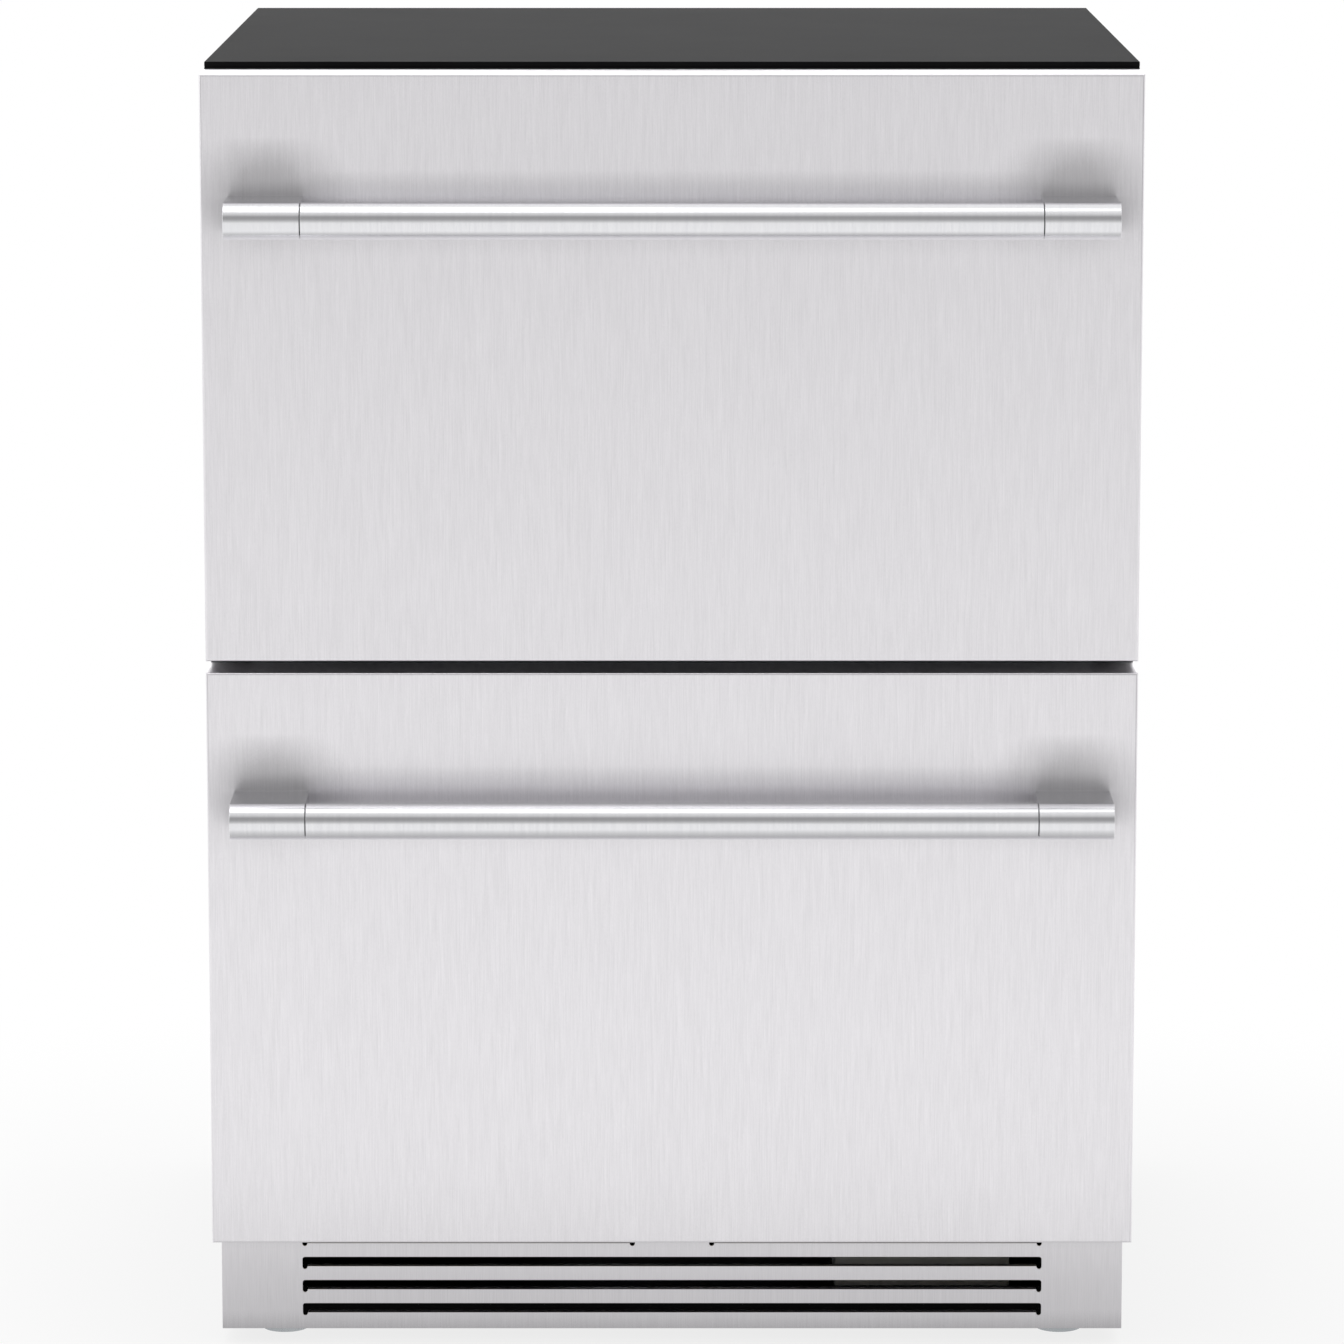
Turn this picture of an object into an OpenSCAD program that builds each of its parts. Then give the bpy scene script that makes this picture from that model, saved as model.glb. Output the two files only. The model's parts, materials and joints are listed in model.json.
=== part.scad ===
// Undercounter drawer refrigerator: a steel cabinet with two insulated drawers on full-extension
// slides, a toe-kick grille and a front-breathing compressor room. Millimetres, fronts face -Y,
// up is +Z, and the origin is on the floor at the middle of the overall width and depth.

/* [Cabinet] */
// Width over the side panels and the drawer fronts
cab_w = 605; // [590:1:640]
// Depth from the front frame's face to the back panel's outside
cab_d = 550; // [540:1:600]
// Height from the floor to the top, with the levelling legs screwed in
cab_h = 864; // [855:1:900]
// Height of the toe-kick grille's lower edge above the floor
leg_gap = 10.4; // [8:0.1:20]
// Height from the grille's lower edge to the lower front's lower edge
toe_h = 81.1; // [76:0.1:100]
// Distance of the toe-kick grille behind the front frame's face
toe_set = 34; // [12:1:40]
// Thickness of the cabinet's sheet steel
sheet_t = 1; // [0.6:0.1:1.5]
// Height of the top panel's turned-down lip
lip_h = 3.4; // [2.5:0.1:8]
// Thickness of the front frame and the divider's trim
frame_t = 2.5; // [1.5:0.1:4]
// Depth of the divider trim's returns
trim_d = 18; // [8:1:40]
// Thickness of the base pan
pan_t = 1.6; // [1.2:0.1:3]
// Height of the base pan's turned-up flanges
pan_flange = 22; // [12:1:30]

/* [Insulated walls] */
// Side wall, from the outside to the liner's inner face
side_wall = 28.5; // [26:0.5:34]
// Top wall, from the top to the upper liner's ceiling
top_wall = 40; // [36:1:55]
// Back wall, from the outside to the liner's rear face
back_wall = 45; // [40:1:60]
// Lower liner's floor above the front frame's lower edge
floor_wall = 32; // [30:1:45]
// Divider between the compartments, from ceiling to floor
divider_h = 31.5; // [30:0.5:40]
// Wall of the moulded liners
liner_t = 2; // [1.5:0.1:3]
// Inner corner radius of the liners
liner_r = 14; // [8:1:20]
// Height of the step over the compressor room above the lower liner's floor
step_h = 105; // [100:1:115]
// Depth of that step, from the liner's rear face
step_d = 190; // [185:1:205]
// Insulation between the step and the compressor room
room_wall = 35; // [30:1:38]

/* [Drawer fronts] */
// Gap between the two drawer fronts
front_split = 7.5; // [4:0.1:12]
// Top of the upper front below the cabinet's top
top_reveal = 4.3; // [3.5:0.1:10]
// Thickness of a drawer front
front_t = 45; // [35:1:60]
// Gap between a drawer front and the front frame, filled by the gasket
seal_gap = 6; // [5:0.1:10]
// Thickness of the fronts' stainless steel skin
skin_t = 1; // [0.6:0.1:1.5]
// Bend radius of the skin's front edges
skin_r = 1.6; // [1.5:0.1:3]
// Thickness of the fronts' moulded inner panel
inner_t = 3; // [2:0.1:5]
// Distance that the inner panel's raised middle enters the compartment
plug_in = 6; // [2:0.5:12]
// Clearance round the raised middle
plug_gap = 12; // [8:1:25]
// Width of the gasket's section
gasket_w = 10; // [6:0.5:10]
// Distance of the gasket from the front's edge
gasket_inset = 1; // [0.5:0.1:1.5]
// Clearance between the closed gasket and the front frame
gasket_gap = 0.2; // [0.1:0.05:0.5]

/* [Handles] */
// Distance of a handle's ends from the drawer front's sides
handle_inset = 17.7; // [5:0.1:60]
// Diameter of the handle's bar
bar_d = 24; // [18:0.5:30]
// Bar's axis in front of the drawer front's face
bar_out = 41; // [32:1:55]
// Bar's axis below the drawer front's upper edge
bar_drop = 90; // [50:1:150]
// Length of each end bracket
bracket_l = 48.5; // [40:0.5:70]
// Width of the groove between the bar and a bracket
joint_w = 0.6; // [0.3:0.1:1.5]
// Wall of the bar's tube
bar_wall = 2; // [1:0.1:4]
// Length of the brackets' spigots in the bar
spigot_l = 15; // [8:0.5:30]
// Diameter of the handle screws' shanks
screw_d = 5; // [4:0.5:6]
// Diameter of the handle screws' heads
screw_head_d = 9; // [7:0.5:10]
// Height of the handle screws' heads
screw_head_h = 3; // [2:0.5:4]
// Depth of the handle screws in the brackets
screw_bite = 14; // [8:1:20]
// Distance between a bracket's two screws
screw_pitch = 26; // [20:1:30]

/* [Toe-kick grille] */
// Thickness of the grille's sheet
kick_t = 1.2; // [0.8:0.1:2]
// Distance of the slot rows' ends from the grille's sides
slot_inset = 54.2; // [30:0.1:120]
// Height of a slot
slot_h = 6.25; // [4:0.05:7]
// Distance from one slot row to the next
slot_pitch = 16; // [13:0.1:17]
// Upper edge of the lowest slot row above the grille's lower edge
slot_first = 17.4; // [14:0.1:18]
// Number of slot rows
slot_rows = 4; // [2:1:4]
// Width of the relief cuts at a slot's ends
relief_w = 3.3; // [2:0.1:5]
// Length of the relief cuts, from the slot's upper edge
relief_l = 8.2; // [7.5:0.1:10]
// Half of the bridge that splits the top row
bridge_half = 25; // [10:1:60]
// Depth of the lip that is folded in below each slot
slot_lip = 6; // [3:0.5:10]
// Depth of the grille's side returns
kick_return = 15; // [8:1:20]

/* [Slides] */
// Overall thickness of a three-part ball-bearing slide
slide_t = 12.7; // [12.7:0.1:14]
// Height of a slide
slide_h = 45; // [43:1:50]
// Thickness of the slides' rolled steel
rail_t = 1.4; // [1.2:0.1:1.5]
// Radius of the slides' balls
ball_r = 2.2; // [2:0.05:2.3]
// Distance between balls in a ball cage
ball_pitch = 16; // [10:1:24]
// Number of balls in a ball cage
ball_count = 5; // [3:1:8]
// Running clearance between a ball and its track
ball_gap = 0.25; // [0.15:0.05:0.4]
// Front end of the slides behind the front frame's face
rail_front = 18; // [16:1:30]
// Clearance behind the slides
rail_rear = 12; // [10:1:25]
// Height of the upper slides' centre line above the upper liner's floor
upper_slide_up = 70; // [50:1:90]
// Clearance of the lower slides above the step's round corner
lower_slide_gap = 1.5; // [0.5:0.5:12]

/* [Drawers] */
// Thickness of the drawer frame's sheet
arm_t = 1.5; // [1:0.1:2.5]
// Height of the drawer frame's front brackets above the slides' centre line
gusset_up = 120; // [60:1:150]
// Length of the drawer frame's front brackets
gusset_l = 95; // [60:1:150]
// Width of the drawer frame's supporting flange
ledge_w = 16; // [12:0.5:25]
// Wall of the bins
bin_t = 2.5; // [2:0.1:4]
// Clearance round a bin
bin_gap = 1.5; // [1:0.1:4]
// Corner radius of the bins
bin_r = 18; // [8:1:30]
// Clearance of a bin above the liner's floor
bin_under = 10; // [8:1:20]
// Distance of a bin's rim below the liner's ceiling
bin_over = 42; // [34:1:60]
// Width of a bin's rim
rim_w = 6; // [3:0.5:9]
// Thickness of a bin's rim
rim_t = 3; // [2:0.5:5]

/* [Cooling] */
// Depth of the evaporator's space behind its cover
evap_d = 75; // [70:1:85]
// Length of the evaporator's finned block
evap_l = 330; // [260:5:360]
// Distance between the evaporator's tube passes
evap_pass = 22; // [18:1:23]
// Diameter of the evaporator fan
evap_fan_d = 84; // [70:1:92]
// Diameter of the compressor's shell
comp_d = 150; // [130:1:155]
// Height of the compressor's shell
comp_h = 132; // [110:1:135]
// Length of the condenser's finned block
cond_l = 190; // [150:5:200]
// Distance between the condenser's tube passes
cond_pass = 23; // [20:1:24]
// Depth of the condenser's finned block
cond_d = 44; // [30:1:48]
// Diameter of the condenser fan
cond_fan_d = 120; // [100:1:124]
// Number of tube passes in each row of a finned block
passes = 6; // [4:2:6]
// Number of fins on each finned block
fins = 18; // [10:1:24]
// Thickness of a fin
fin_t = 0.5; // [0.3:0.1:1]
// Diameter of the finned blocks' tubes
coil_d = 8; // [6:0.5:9]
// Diameter of the motors' shafts
shaft_d = 4; // [3:0.5:5]
// Radial clearance of a turning shaft
shaft_gap = 0.05; // [0.02:0.01:0.1]
// Number of blades on a fan
blades = 5; // [3:1:7]

/* [Levelling legs] */
// Diameter of a leg's threaded stud
stud_d = 10; // [8:1:12]
// Length of a leg's stud above its foot
stud_l = 52; // [45:1:60]
// Diameter of a leg's foot
foot_d = 32; // [24:1:40]
// Height of a leg's foot
foot_h = 8; // [5:0.5:8]
// Distance of the legs from the cabinet's side
leg_in = 40; // [30:1:60]
// Distance of the front legs behind the toe-kick grille's side returns
leg_front = 28; // [20:1:50]
// Distance of the rear legs from the cabinet's back
leg_rear = 30; // [25:1:45]

/* [Hidden] */
$fn = 48;
eps = 1; // how far a cutting shape runs past what it cuts

route_gap = 0.3; // clearance round the lines and the drain in the foam and the sheets

// planes of the cabinet, front to back
handle_reach = bar_out + bar_d / 2;
depth_all = handle_reach + front_t + seal_gap + cab_d;
y_frame = -depth_all / 2 + handle_reach + front_t + seal_gap;
y_front_back = y_frame - seal_gap;
y_face = y_front_back - front_t;
y_bar = y_face - bar_out;
y_kick = y_frame + toe_set;
y_behind_kick = y_kick + kick_t;
pan_front_gap = 1; // between the grille's side returns and the base pan
y_pan = y_kick + kick_return + pan_front_gap;
y_leg_front = y_pan + leg_front;
y_back = y_frame + cab_d;
y_leg_rear = y_back - leg_rear;
y_liner = y_back - back_wall;
y_cover = y_liner - evap_d;
y_step = y_liner - step_d;
y_room = y_step + room_wall;

// heights of the cabinet, floor to top
pan_up = 1.6; // base pan's underside above the grille's lower edge
z_pan = leg_gap + pan_up;
z_on_pan = z_pan + pan_t;
z_front_lower = leg_gap + toe_h;
frame_overlap = 3.5; // the front frame reaches this far below the lower front's edge
z_frame = z_front_lower - frame_overlap;
front_h = (cab_h - top_reveal - front_split - z_front_lower) / 2;
z_front_upper = z_front_lower + front_h + front_split;
z_split = z_front_upper - front_split / 2;
z_lip = cab_h - lip_h;
z_floor_lower = z_frame + floor_wall;
z_ceil_lower = z_split - divider_h / 2;
z_floor_upper = z_split + divider_h / 2;
z_ceil_upper = cab_h - top_wall;
z_step = z_floor_lower + step_h;
z_room = z_step - room_wall;

// half widths
x_out = cab_w / 2;
x_in = x_out - sheet_t;
x_cav = x_out - side_wall;
x_liner = x_cav + liner_t;
handle_l = cab_w - 2 * handle_inset;
slot_l = cab_w - 2 * slot_inset;

// slides: sections measured from the wall (u) and from the centre line (v)
outer_u = slide_t - 1.9; // edge of the outer rail's flanges
middle_u = 3.2; // back of the middle rail's web
middle_u_end = slide_t - 1.3; // edge of the middle rail's flanges
inner_u = 5.6; // edge of the inner rail's flanges
ball_u = slide_t / 2 + 0.5; // middle of the balls
ball_sunk = 0.1; // the balls sink this far into the middle rail
ball_room = 2 * ball_r + ball_gap - ball_sunk;
track_v = slide_h / 2 - rail_t;
middle_v = track_v - ball_room;
inner_track_v = middle_v - rail_t;
inner_v = inner_track_v - ball_room;
y_rail = y_frame + rail_front;
rail_l = y_cover - rail_rear - y_rail;
middle_cut = 10; // the middle rail is this much shorter at each end
ball_margin = 14; // from the middle rail's ends to the first balls
z_slide_upper = z_floor_upper + upper_slide_up;
z_slide_lower = z_step + liner_r + slide_h / 2 + lower_slide_gap;

// drawer frames and bins
x_arm = x_cav - slide_t;
x_arm_in = x_arm - arm_t;
x_ledge = x_arm - ledge_w;
arm_low = slide_h / 2 - 0.5; // the frame's arm reaches this far below the centre line
arm_high = 14; // and this far above it
bin_front = 11.5; // from the frame's front flange to the bin
y_plug = y_frame + plug_in;
y_arm_end = y_rail + rail_l;
y_bin = y_plug + arm_t + bin_front;
y_bin_end = y_arm_end - arm_t - bin_gap;
x_bin = x_arm_in - bin_gap;
x_bin_low = x_ledge - bin_gap;

// compressor room
comp_right = 62; // room for the terminal box between the compressor and the side
comp_front = 12; // compressor behind the room's front wall
comp_foot = 13; // height of the grommets under the compressor's plate
x_comp = x_in - comp_right - comp_d / 2;
y_comp = y_room + sheet_t + comp_front + comp_d / 2;
z_comp = z_on_pan + comp_foot;
cond_left = 24; // room for the condenser's bends between it and the side
cond_front = 8; // condenser behind the room's front wall
cond_up = 2; // condenser above the base pan
cond_h = passes * cond_pass;
x_cond = -x_in + cond_left + cond_l / 2;
y_cond = y_room + sheet_t + cond_front;
z_cond = z_on_pan + cond_up;
shroud_gap = 2; // between the condenser and its shroud
shroud_d = 30; // depth of the shroud's ring
y_shroud = y_cond + cond_d + shroud_gap;
z_fan = z_cond + cond_h / 2;
motor_d = 44; // diameter of the condenser fan's motor
motor_l = 34; // and its length
motor_gap = 3; // between the shroud's ring and the motor
y_motor = y_shroud + shroud_d + motor_gap;
fan_half = 9; // half the depth that a fan's blades sweep
hub_half = fan_half - 1;
hub_d = 30; // diameter of a fan's hub
bore_l = 14; // depth of the shaft's bore in a motor
shaft_end = 3; // the shaft ends this far short of the bore's bottom
fan_in = 1.5; // the blades lie this far inside the shroud's ring
y_cond_fan = y_shroud + shroud_d - fan_half - fan_in;
tray_w = 76; // width of the drip tray
tray_d = 62; // depth of the drip tray
tray_gap = 4; // between the tray and the base pan's rear flange
y_tray = y_back - sheet_t - pan_t - tray_gap - tray_d;

// evaporator space
evap_h = passes * evap_pass;
evap_up = 22; // evaporator above the liner's floor
evap_back = 24; // evaporator's middle behind the cover's face
evap_block_d = 40; // depth of the evaporator
z_evap = z_floor_upper + evap_up;
y_evap = y_cover + evap_back;
evap_fan_down = 26; // evaporator fan's blades below the liner's ceiling
evap_fan_back = 10; // and behind the cover's face
evap_motor_back = 15; // motor's face behind the fan's middle
z_evap_fan = z_ceil_upper - evap_fan_down - evap_fan_d / 2;
y_evap_fan = y_cover + evap_fan_back + fan_half;
y_evap_motor = y_evap_fan + evap_motor_back;
y_line = y_back - back_wall / 2; // the lines run down inside the back wall

// control panel, lamps, sensors and inlet
panel_w = 220;
panel_d = 48;
panel_h = 14;
panel_back = 16; // control panel behind the front frame's face
lamp_l = 320;
lamp_w = 12;
lamp_h = 4;
lamp_back = 90; // lamps behind the front frame's face
sensor_r = 6;
sensor_h = 9;
sensor_down = 50; // sensors below each compartment's ceiling
sensor_front = 50; // and in front of the evaporator's cover
inlet_w = 48;
inlet_h = 28;
inlet_d = 24;
inlet_side = 50; // inlet's middle from the side panel
inlet_up = 8; // inlet above the base pan's flange
x_inlet = -x_in + inlet_side;
z_inlet = z_on_pan + pan_flange + inlet_up + inlet_h / 2;

// a solid box between two corners
module block(low, high) {
  translate(low) cube(high - low);
}

// stands a drawing of X and Z upright, from plane y back by t
module upright(y, t) {
  translate([0, y + t, 0]) rotate([90, 0, 0]) linear_extrude(t) children();
}

// runs a drawing of Y and Z along X, from x0 to x1
module across(x0, x1) {
  translate([x0, 0, 0]) rotate([90, 0, 90]) linear_extrude(x1 - x0) children();
}

// the same thing on both sides of the middle plane
module both_sides() {
  children();
  mirror([1, 0, 0]) children();
}

// a rectangle between two corners, with round corners
module round_rect(low, high, r) {
  translate(low + [r, 0]) square([high.x - low.x - 2 * r, high.y - low.y]);
  translate(low + [0, r]) square([high.x - low.x, high.y - low.y - 2 * r]);
  for (x = [low.x + r, high.x - r], y = [low.y + r, high.y - r]) translate([x, y]) circle(r);
}

// a box with upright round corners
module round_box(low, high, r) {
  translate([0, 0, low.z]) linear_extrude(high.z - low.z)
    round_rect([low.x, low.y], [high.x, high.y], r);
}

// a straight tube or rod from a to b
module rod(a, b, r) {
  v = b - a;
  translate(a) rotate([0, acos(v.z / norm(v)), atan2(v.y, v.x)]) cylinder(r = r, h = norm(v));
}

// a tube along square turns, with a rounded knuckle at each turn
module pipe(points, r) {
  knuckle = 1.08;
  for (i = [0 : len(points) - 2]) rod(points[i], points[i + 1], r);
  for (i = [1 : len(points) - 2]) translate(points[i]) sphere(r * knuckle);
}

// ---- cabinet ----

module side_panel() {
  flange = 12;
  across(x_in, x_out) polygon([[y_frame + frame_t, z_frame], [y_frame + frame_t, z_lip],
    [y_back, z_lip], [y_back, leg_gap], [y_behind_kick, leg_gap], [y_behind_kick, z_frame]]);
  block([x_in - flange, y_frame + frame_t, z_frame], [x_out, y_frame + frame_t + sheet_t, z_lip]);
}

module side_panel_left() {
  color("dimgray") mirror([1, 0, 0]) side_panel();
}

module side_panel_right() {
  color("dimgray") side_panel();
}

// a shallow tray upside down, whose lip shows as a thin dark band over the upper front
module top_panel() {
  color("dimgray") difference() {
    block([-x_out, y_frame, z_lip], [x_out, y_back, cab_h]);
    block([-x_in, y_frame + sheet_t, z_lip - eps], [x_in, y_back - sheet_t, cab_h - sheet_t]);
  }
}

// back, compressor room and underside in one folded sheet
module back_panel() {
  color("silver") difference() {
    across(-x_in, x_in) polygon([[y_back - sheet_t, z_lip], [y_back, z_lip],
      [y_back, z_room], [y_room + sheet_t, z_room], [y_room + sheet_t, z_frame],
      [y_pan, z_frame], [y_pan, z_frame + sheet_t],
      [y_room, z_frame + sheet_t], [y_room, z_room + sheet_t],
      [y_back - sheet_t, z_room + sheet_t]]);
    line_routes(route_gap);
    drain_route(route_gap);
  }
}

module leg_places() {
  for (x = [-1, 1] * (x_out - leg_in), y = [y_leg_front, y_leg_rear])
    translate([x, y, 0]) children();
}

module base_pan() {
  boss_r = stud_d / 2 + 5;
  color("silver") difference() {
    union() {
      difference() {
        block([-x_in, y_pan, z_pan], [x_in, y_back - sheet_t, z_on_pan + pan_flange]);
        block([-x_in + pan_t, y_pan + pan_t, z_on_pan],
          [x_in - pan_t, y_back - sheet_t - pan_t, z_on_pan + pan_flange + eps]);
      }
      leg_places() translate([0, 0, z_pan]) cylinder(r = boss_r, h = pan_flange);
    }
    leg_places() translate([0, 0, z_pan - eps])
      cylinder(d = stud_d + 2 * shaft_gap, h = pan_flange + 2 * eps);
  }
}

module liner_outline(z0, z1, grow) {
  round_rect([-x_cav - grow, z0 - grow], [x_cav + grow, z1 + grow], liner_r + grow);
}

module front_frame() {
  color([0.2, 0.2, 0.21]) upright(y_frame, frame_t) difference() {
    translate([-x_out, z_frame]) square([cab_w, z_lip - z_frame]);
    liner_outline(z_floor_lower, z_ceil_lower, liner_t);
    liner_outline(z_floor_upper, z_ceil_upper, liner_t);
    divider_opening();
  }
}

module divider_opening() {
  reach = liner_r + liner_t;
  translate([-x_liner, z_ceil_lower - reach]) square([2 * x_liner, divider_h + 2 * reach]);
}

// a channel over the divider between the compartments
module divider_trim() {
  z_a = z_ceil_lower + liner_t;
  z_b = z_floor_upper - liner_t;
  x_end = x_liner - liner_r;
  color([0.25, 0.25, 0.26]) {
    upright(y_frame, frame_t) difference() {
      divider_opening();
      liner_outline(z_floor_lower, z_ceil_lower, liner_t);
      liner_outline(z_floor_upper, z_ceil_upper, liner_t);
    }
    for (z = [z_a, z_b - sheet_t])
      block([-x_end, y_frame + frame_t, z], [x_end, y_frame + frame_t + trim_d, z + sheet_t]);
  }
}

module upper_liner_space(grow) {
  upright(y_frame - eps, y_liner - y_frame + eps + grow)
    liner_outline(z_floor_upper, z_ceil_upper, grow);
}

// the lower compartment is tall in front and stepped over the compressor room behind
module lower_liner_space(grow) {
  upright(y_frame - eps, y_step - y_frame + eps + grow)
    liner_outline(z_floor_lower, z_ceil_lower, grow);
  upright(y_frame - eps, y_liner - y_frame + eps + grow)
    liner_outline(z_step, z_ceil_lower, grow);
}

module in_front_of_frame() {
  block([-cab_w, y_frame - 2 * eps, 0], [cab_w, y_frame, cab_h]);
}

module upper_liner() {
  color([0.32, 0.33, 0.34]) difference() {
    upper_liner_space(liner_t);
    upper_liner_space(0);
    in_front_of_frame();
    drain_route(route_gap);
    line_routes(route_gap);
  }
}

module lower_liner() {
  color([0.32, 0.33, 0.34]) difference() {
    lower_liner_space(liner_t);
    lower_liner_space(0);
    in_front_of_frame();
  }
}

// foam between the steel outside and the liners, with the room for the compressor left out
module cabinet_insulation() {
  front = y_frame + frame_t;
  color("khaki") difference() {
    block([-x_in, front, z_frame + sheet_t], [x_in, y_back - sheet_t, cab_h - sheet_t]);
    block([-x_out, y_room, 0], [x_out, y_back, z_room + sheet_t]);
    upper_liner_space(liner_t);
    lower_liner_space(liner_t);
    block([-x_out, front - eps, 0], [x_out, front + sheet_t, cab_h]);
    block([-x_out, front - eps, z_ceil_lower + liner_t],
      [x_out, front + trim_d, z_floor_upper - liner_t]);
    line_routes(route_gap);
    drain_route(route_gap);
  }
}

// ---- toe kick ----

top_row = slot_rows - 1; // this row is split by a bridge

// one slot with a relief cut at each end, hanging from its upper edge
module slot(x0, x1) {
  r = relief_w / 2;
  translate([x0, -slot_h]) square([x1 - x0, slot_h - r]);
  translate([x0 + r, -slot_h]) square([x1 - x0 - relief_w, slot_h]);
  for (x = [x0 + r, x1 - r]) {
    translate([x, -r]) circle(r);
    translate([x - r, r - relief_l]) square([relief_w, relief_l - 2 * r]);
    translate([x, r - relief_l]) circle(r);
  }
}

module slot_row(i) {
  top = leg_gap + slot_first + i * slot_pitch;
  translate([0, top]) {
    if (i < top_row) slot(-slot_l / 2, slot_l / 2);
    else for (s = [0, 1]) mirror([s, 0]) slot(bridge_half, slot_l / 2);
  }
}

module toe_kick_grille() {
  color("lightgray") {
    upright(y_kick, kick_t) difference() {
      translate([-x_out, leg_gap]) square([cab_w, z_frame - leg_gap]);
      for (i = [0 : slot_rows - 1]) slot_row(i);
    }
    both_sides() block([x_in - kick_t, y_kick, leg_gap], [x_in, y_kick + kick_return, z_frame]);
    for (i = [0 : slot_rows - 1]) slot_lips(i);
  }
}

// the lip under a slot, folded in towards the room behind
module slot_lips(i) {
  z = leg_gap + slot_first + i * slot_pitch - slot_h;
  end = slot_l / 2 - relief_w;
  if (i < top_row) block([-end, y_kick, z - kick_t], [end, y_kick + slot_lip, z]);
  else both_sides() block([bridge_half + relief_w, y_kick, z - kick_t],
    [end, y_kick + slot_lip, z]);
}

// ---- compressor room ----

module rear_cover() {
  rows = 6;
  vent_w = 150;
  vent_h = 5;
  pitch = 16;
  bridge = 20;
  low = z_on_pan + pan_flange + 1 + pitch;
  color("silver") difference() {
    block([-x_in, y_back - sheet_t, z_pan], [x_in, y_back, z_room]);
    for (i = [0 : rows - 1]) both_sides()
      block([bridge, y_back - sheet_t - eps, low + i * pitch],
        [bridge + vent_w, y_back + eps, low + i * pitch + vent_h]);
    block([x_inlet - inlet_w / 2, y_back - sheet_t - eps, z_inlet - inlet_h / 2],
      [x_inlet + inlet_w / 2, y_back + eps, z_inlet + inlet_h / 2]);
  }
}

grommet_x = 70; // from the compressor's middle to its grommets, across
grommet_y = 50; // and front to back
grommet_r = 11; // radius of a grommet's foot
comp_plate = 4; // thickness of the compressor's plate
stub_l = 14; // length of the tube stubs outside the shell
suction_up = 62; // height of the suction stub above the compressor's plate
discharge_up = 42; // height of the discharge stub above it
discharge_side = 30; // and its distance from the compressor's middle plane
discharge_in = 2; // it ends this far outside the shell

module grommet_places() {
  for (x = [-1, 1] * grommet_x, y = [-1, 1] * grommet_y)
    translate([x_comp + x, y_comp + y, 0]) children();
}

// a welded shell with a seam, on a plate with four holes, with two tube stubs and a terminal box
module compressor() {
  r = comp_d / 2;
  dome = 26;
  seam = 3;
  seam_at = 0.55;
  stub_r = 5;
  edge = 14;
  hole_r = grommet_r - 5;
  box_l = 46;
  box_w = 52;
  box_h = 54;
  box_in = 12;
  box_up = 34;
  box_low = [x_comp + r - box_in, y_comp - box_w / 2, z_comp + box_up];
  color([0.12, 0.12, 0.13]) difference() {
    union() {
      translate([x_comp, y_comp, z_comp + comp_plate - 1]) rotate_extrude() union() {
        square([r - dome, comp_h]);
        translate([0, dome]) square([r, comp_h - 2 * dome]);
        translate([r - dome, dome]) circle(dome);
        translate([r - dome, comp_h - dome]) circle(dome);
        translate([0, comp_h * seam_at]) square([r + seam, seam]);
      }
      block([x_comp - grommet_x - edge, y_comp - grommet_y - edge, z_comp],
        [x_comp + grommet_x + edge, y_comp + grommet_y + edge, z_comp + comp_plate]);
      for (p = [suction_stub, discharge_stub]) rod(p, [x_comp, p.y, p.z], stub_r);
      block(box_low, box_low + [box_l, box_w, box_h]);
    }
    grommet_places() translate([0, 0, z_comp - eps]) cylinder(r = hole_r, h = comp_plate + 2 * eps);
  }
}

// rubber feet that the compressor's plate stands on
module compressor_grommets() {
  neck_r = grommet_r - 5.2;
  cap_r = grommet_r - 2;
  cap_t = 3;
  color("black") grommet_places() {
    translate([0, 0, z_on_pan]) cylinder(r = grommet_r, h = comp_foot);
    translate([0, 0, z_on_pan]) cylinder(r = neck_r, h = comp_foot + comp_plate + cap_t);
    translate([0, 0, z_comp + comp_plate]) cylinder(r = cap_r, h = cap_t);
  }
}

suction_stub = [x_comp - comp_d / 2 - stub_l + discharge_in, y_comp, z_comp + suction_up];
discharge_stub = [x_comp - comp_d / 2 - discharge_in, y_comp - discharge_side,
  z_comp + discharge_up];

// two serpentine rows of tube through a stack of fins, joined at the top right; both free ends
// are at the lower right
module finned_block(length, step, depth) {
  r = coil_d / 2;
  height = passes * step;
  for (row = [-1, 1] * depth / 4) {
    for (i = [0 : passes - 1]) translate([-length / 2, row, step * (i + 0.5)])
      rotate([0, 90, 0]) cylinder(r = r, h = length);
    for (i = [0 : passes - 2]) translate([(i % 2 ? 1 : -1) * length / 2, row, step * (i + 1)])
      rotate([90, 0, 0]) rotate([0, 0, i % 2 ? -90 : 90]) u_bend(step / 2, r);
  }
  translate([length / 2, 0, height - step / 2]) rotate([0, 0, -90]) u_bend(depth / 4, r);
  for (i = [0 : fins - 1])
    translate([(i - (fins - 1) / 2) * fin_pitch(length), 0, height / 2])
      cube([fin_t, depth, height], center = true);
}

module u_bend(bend_r, r) {
  rotate_extrude(angle = 180) translate([bend_r, 0]) circle(r);
}

fin_edge = 4; // from the finned blocks' ends to their first fins
function fin_pitch(length) = (length - 2 * fin_edge) / (fins - 1);

module condenser_coil() {
  foot_t = 1.5;
  foot_in = 5;
  foot_up = 12;
  reach = cond_l / 2 - foot_in;
  color("dimgray") {
    translate([x_cond, y_cond + cond_d / 2, z_cond]) finned_block(cond_l, cond_pass, cond_d);
    for (x = [x_cond - reach, x_cond + reach - foot_t])
      block([x, y_cond, z_on_pan], [x + foot_t, y_cond + cond_d, z_cond + foot_up]);
  }
}

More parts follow.
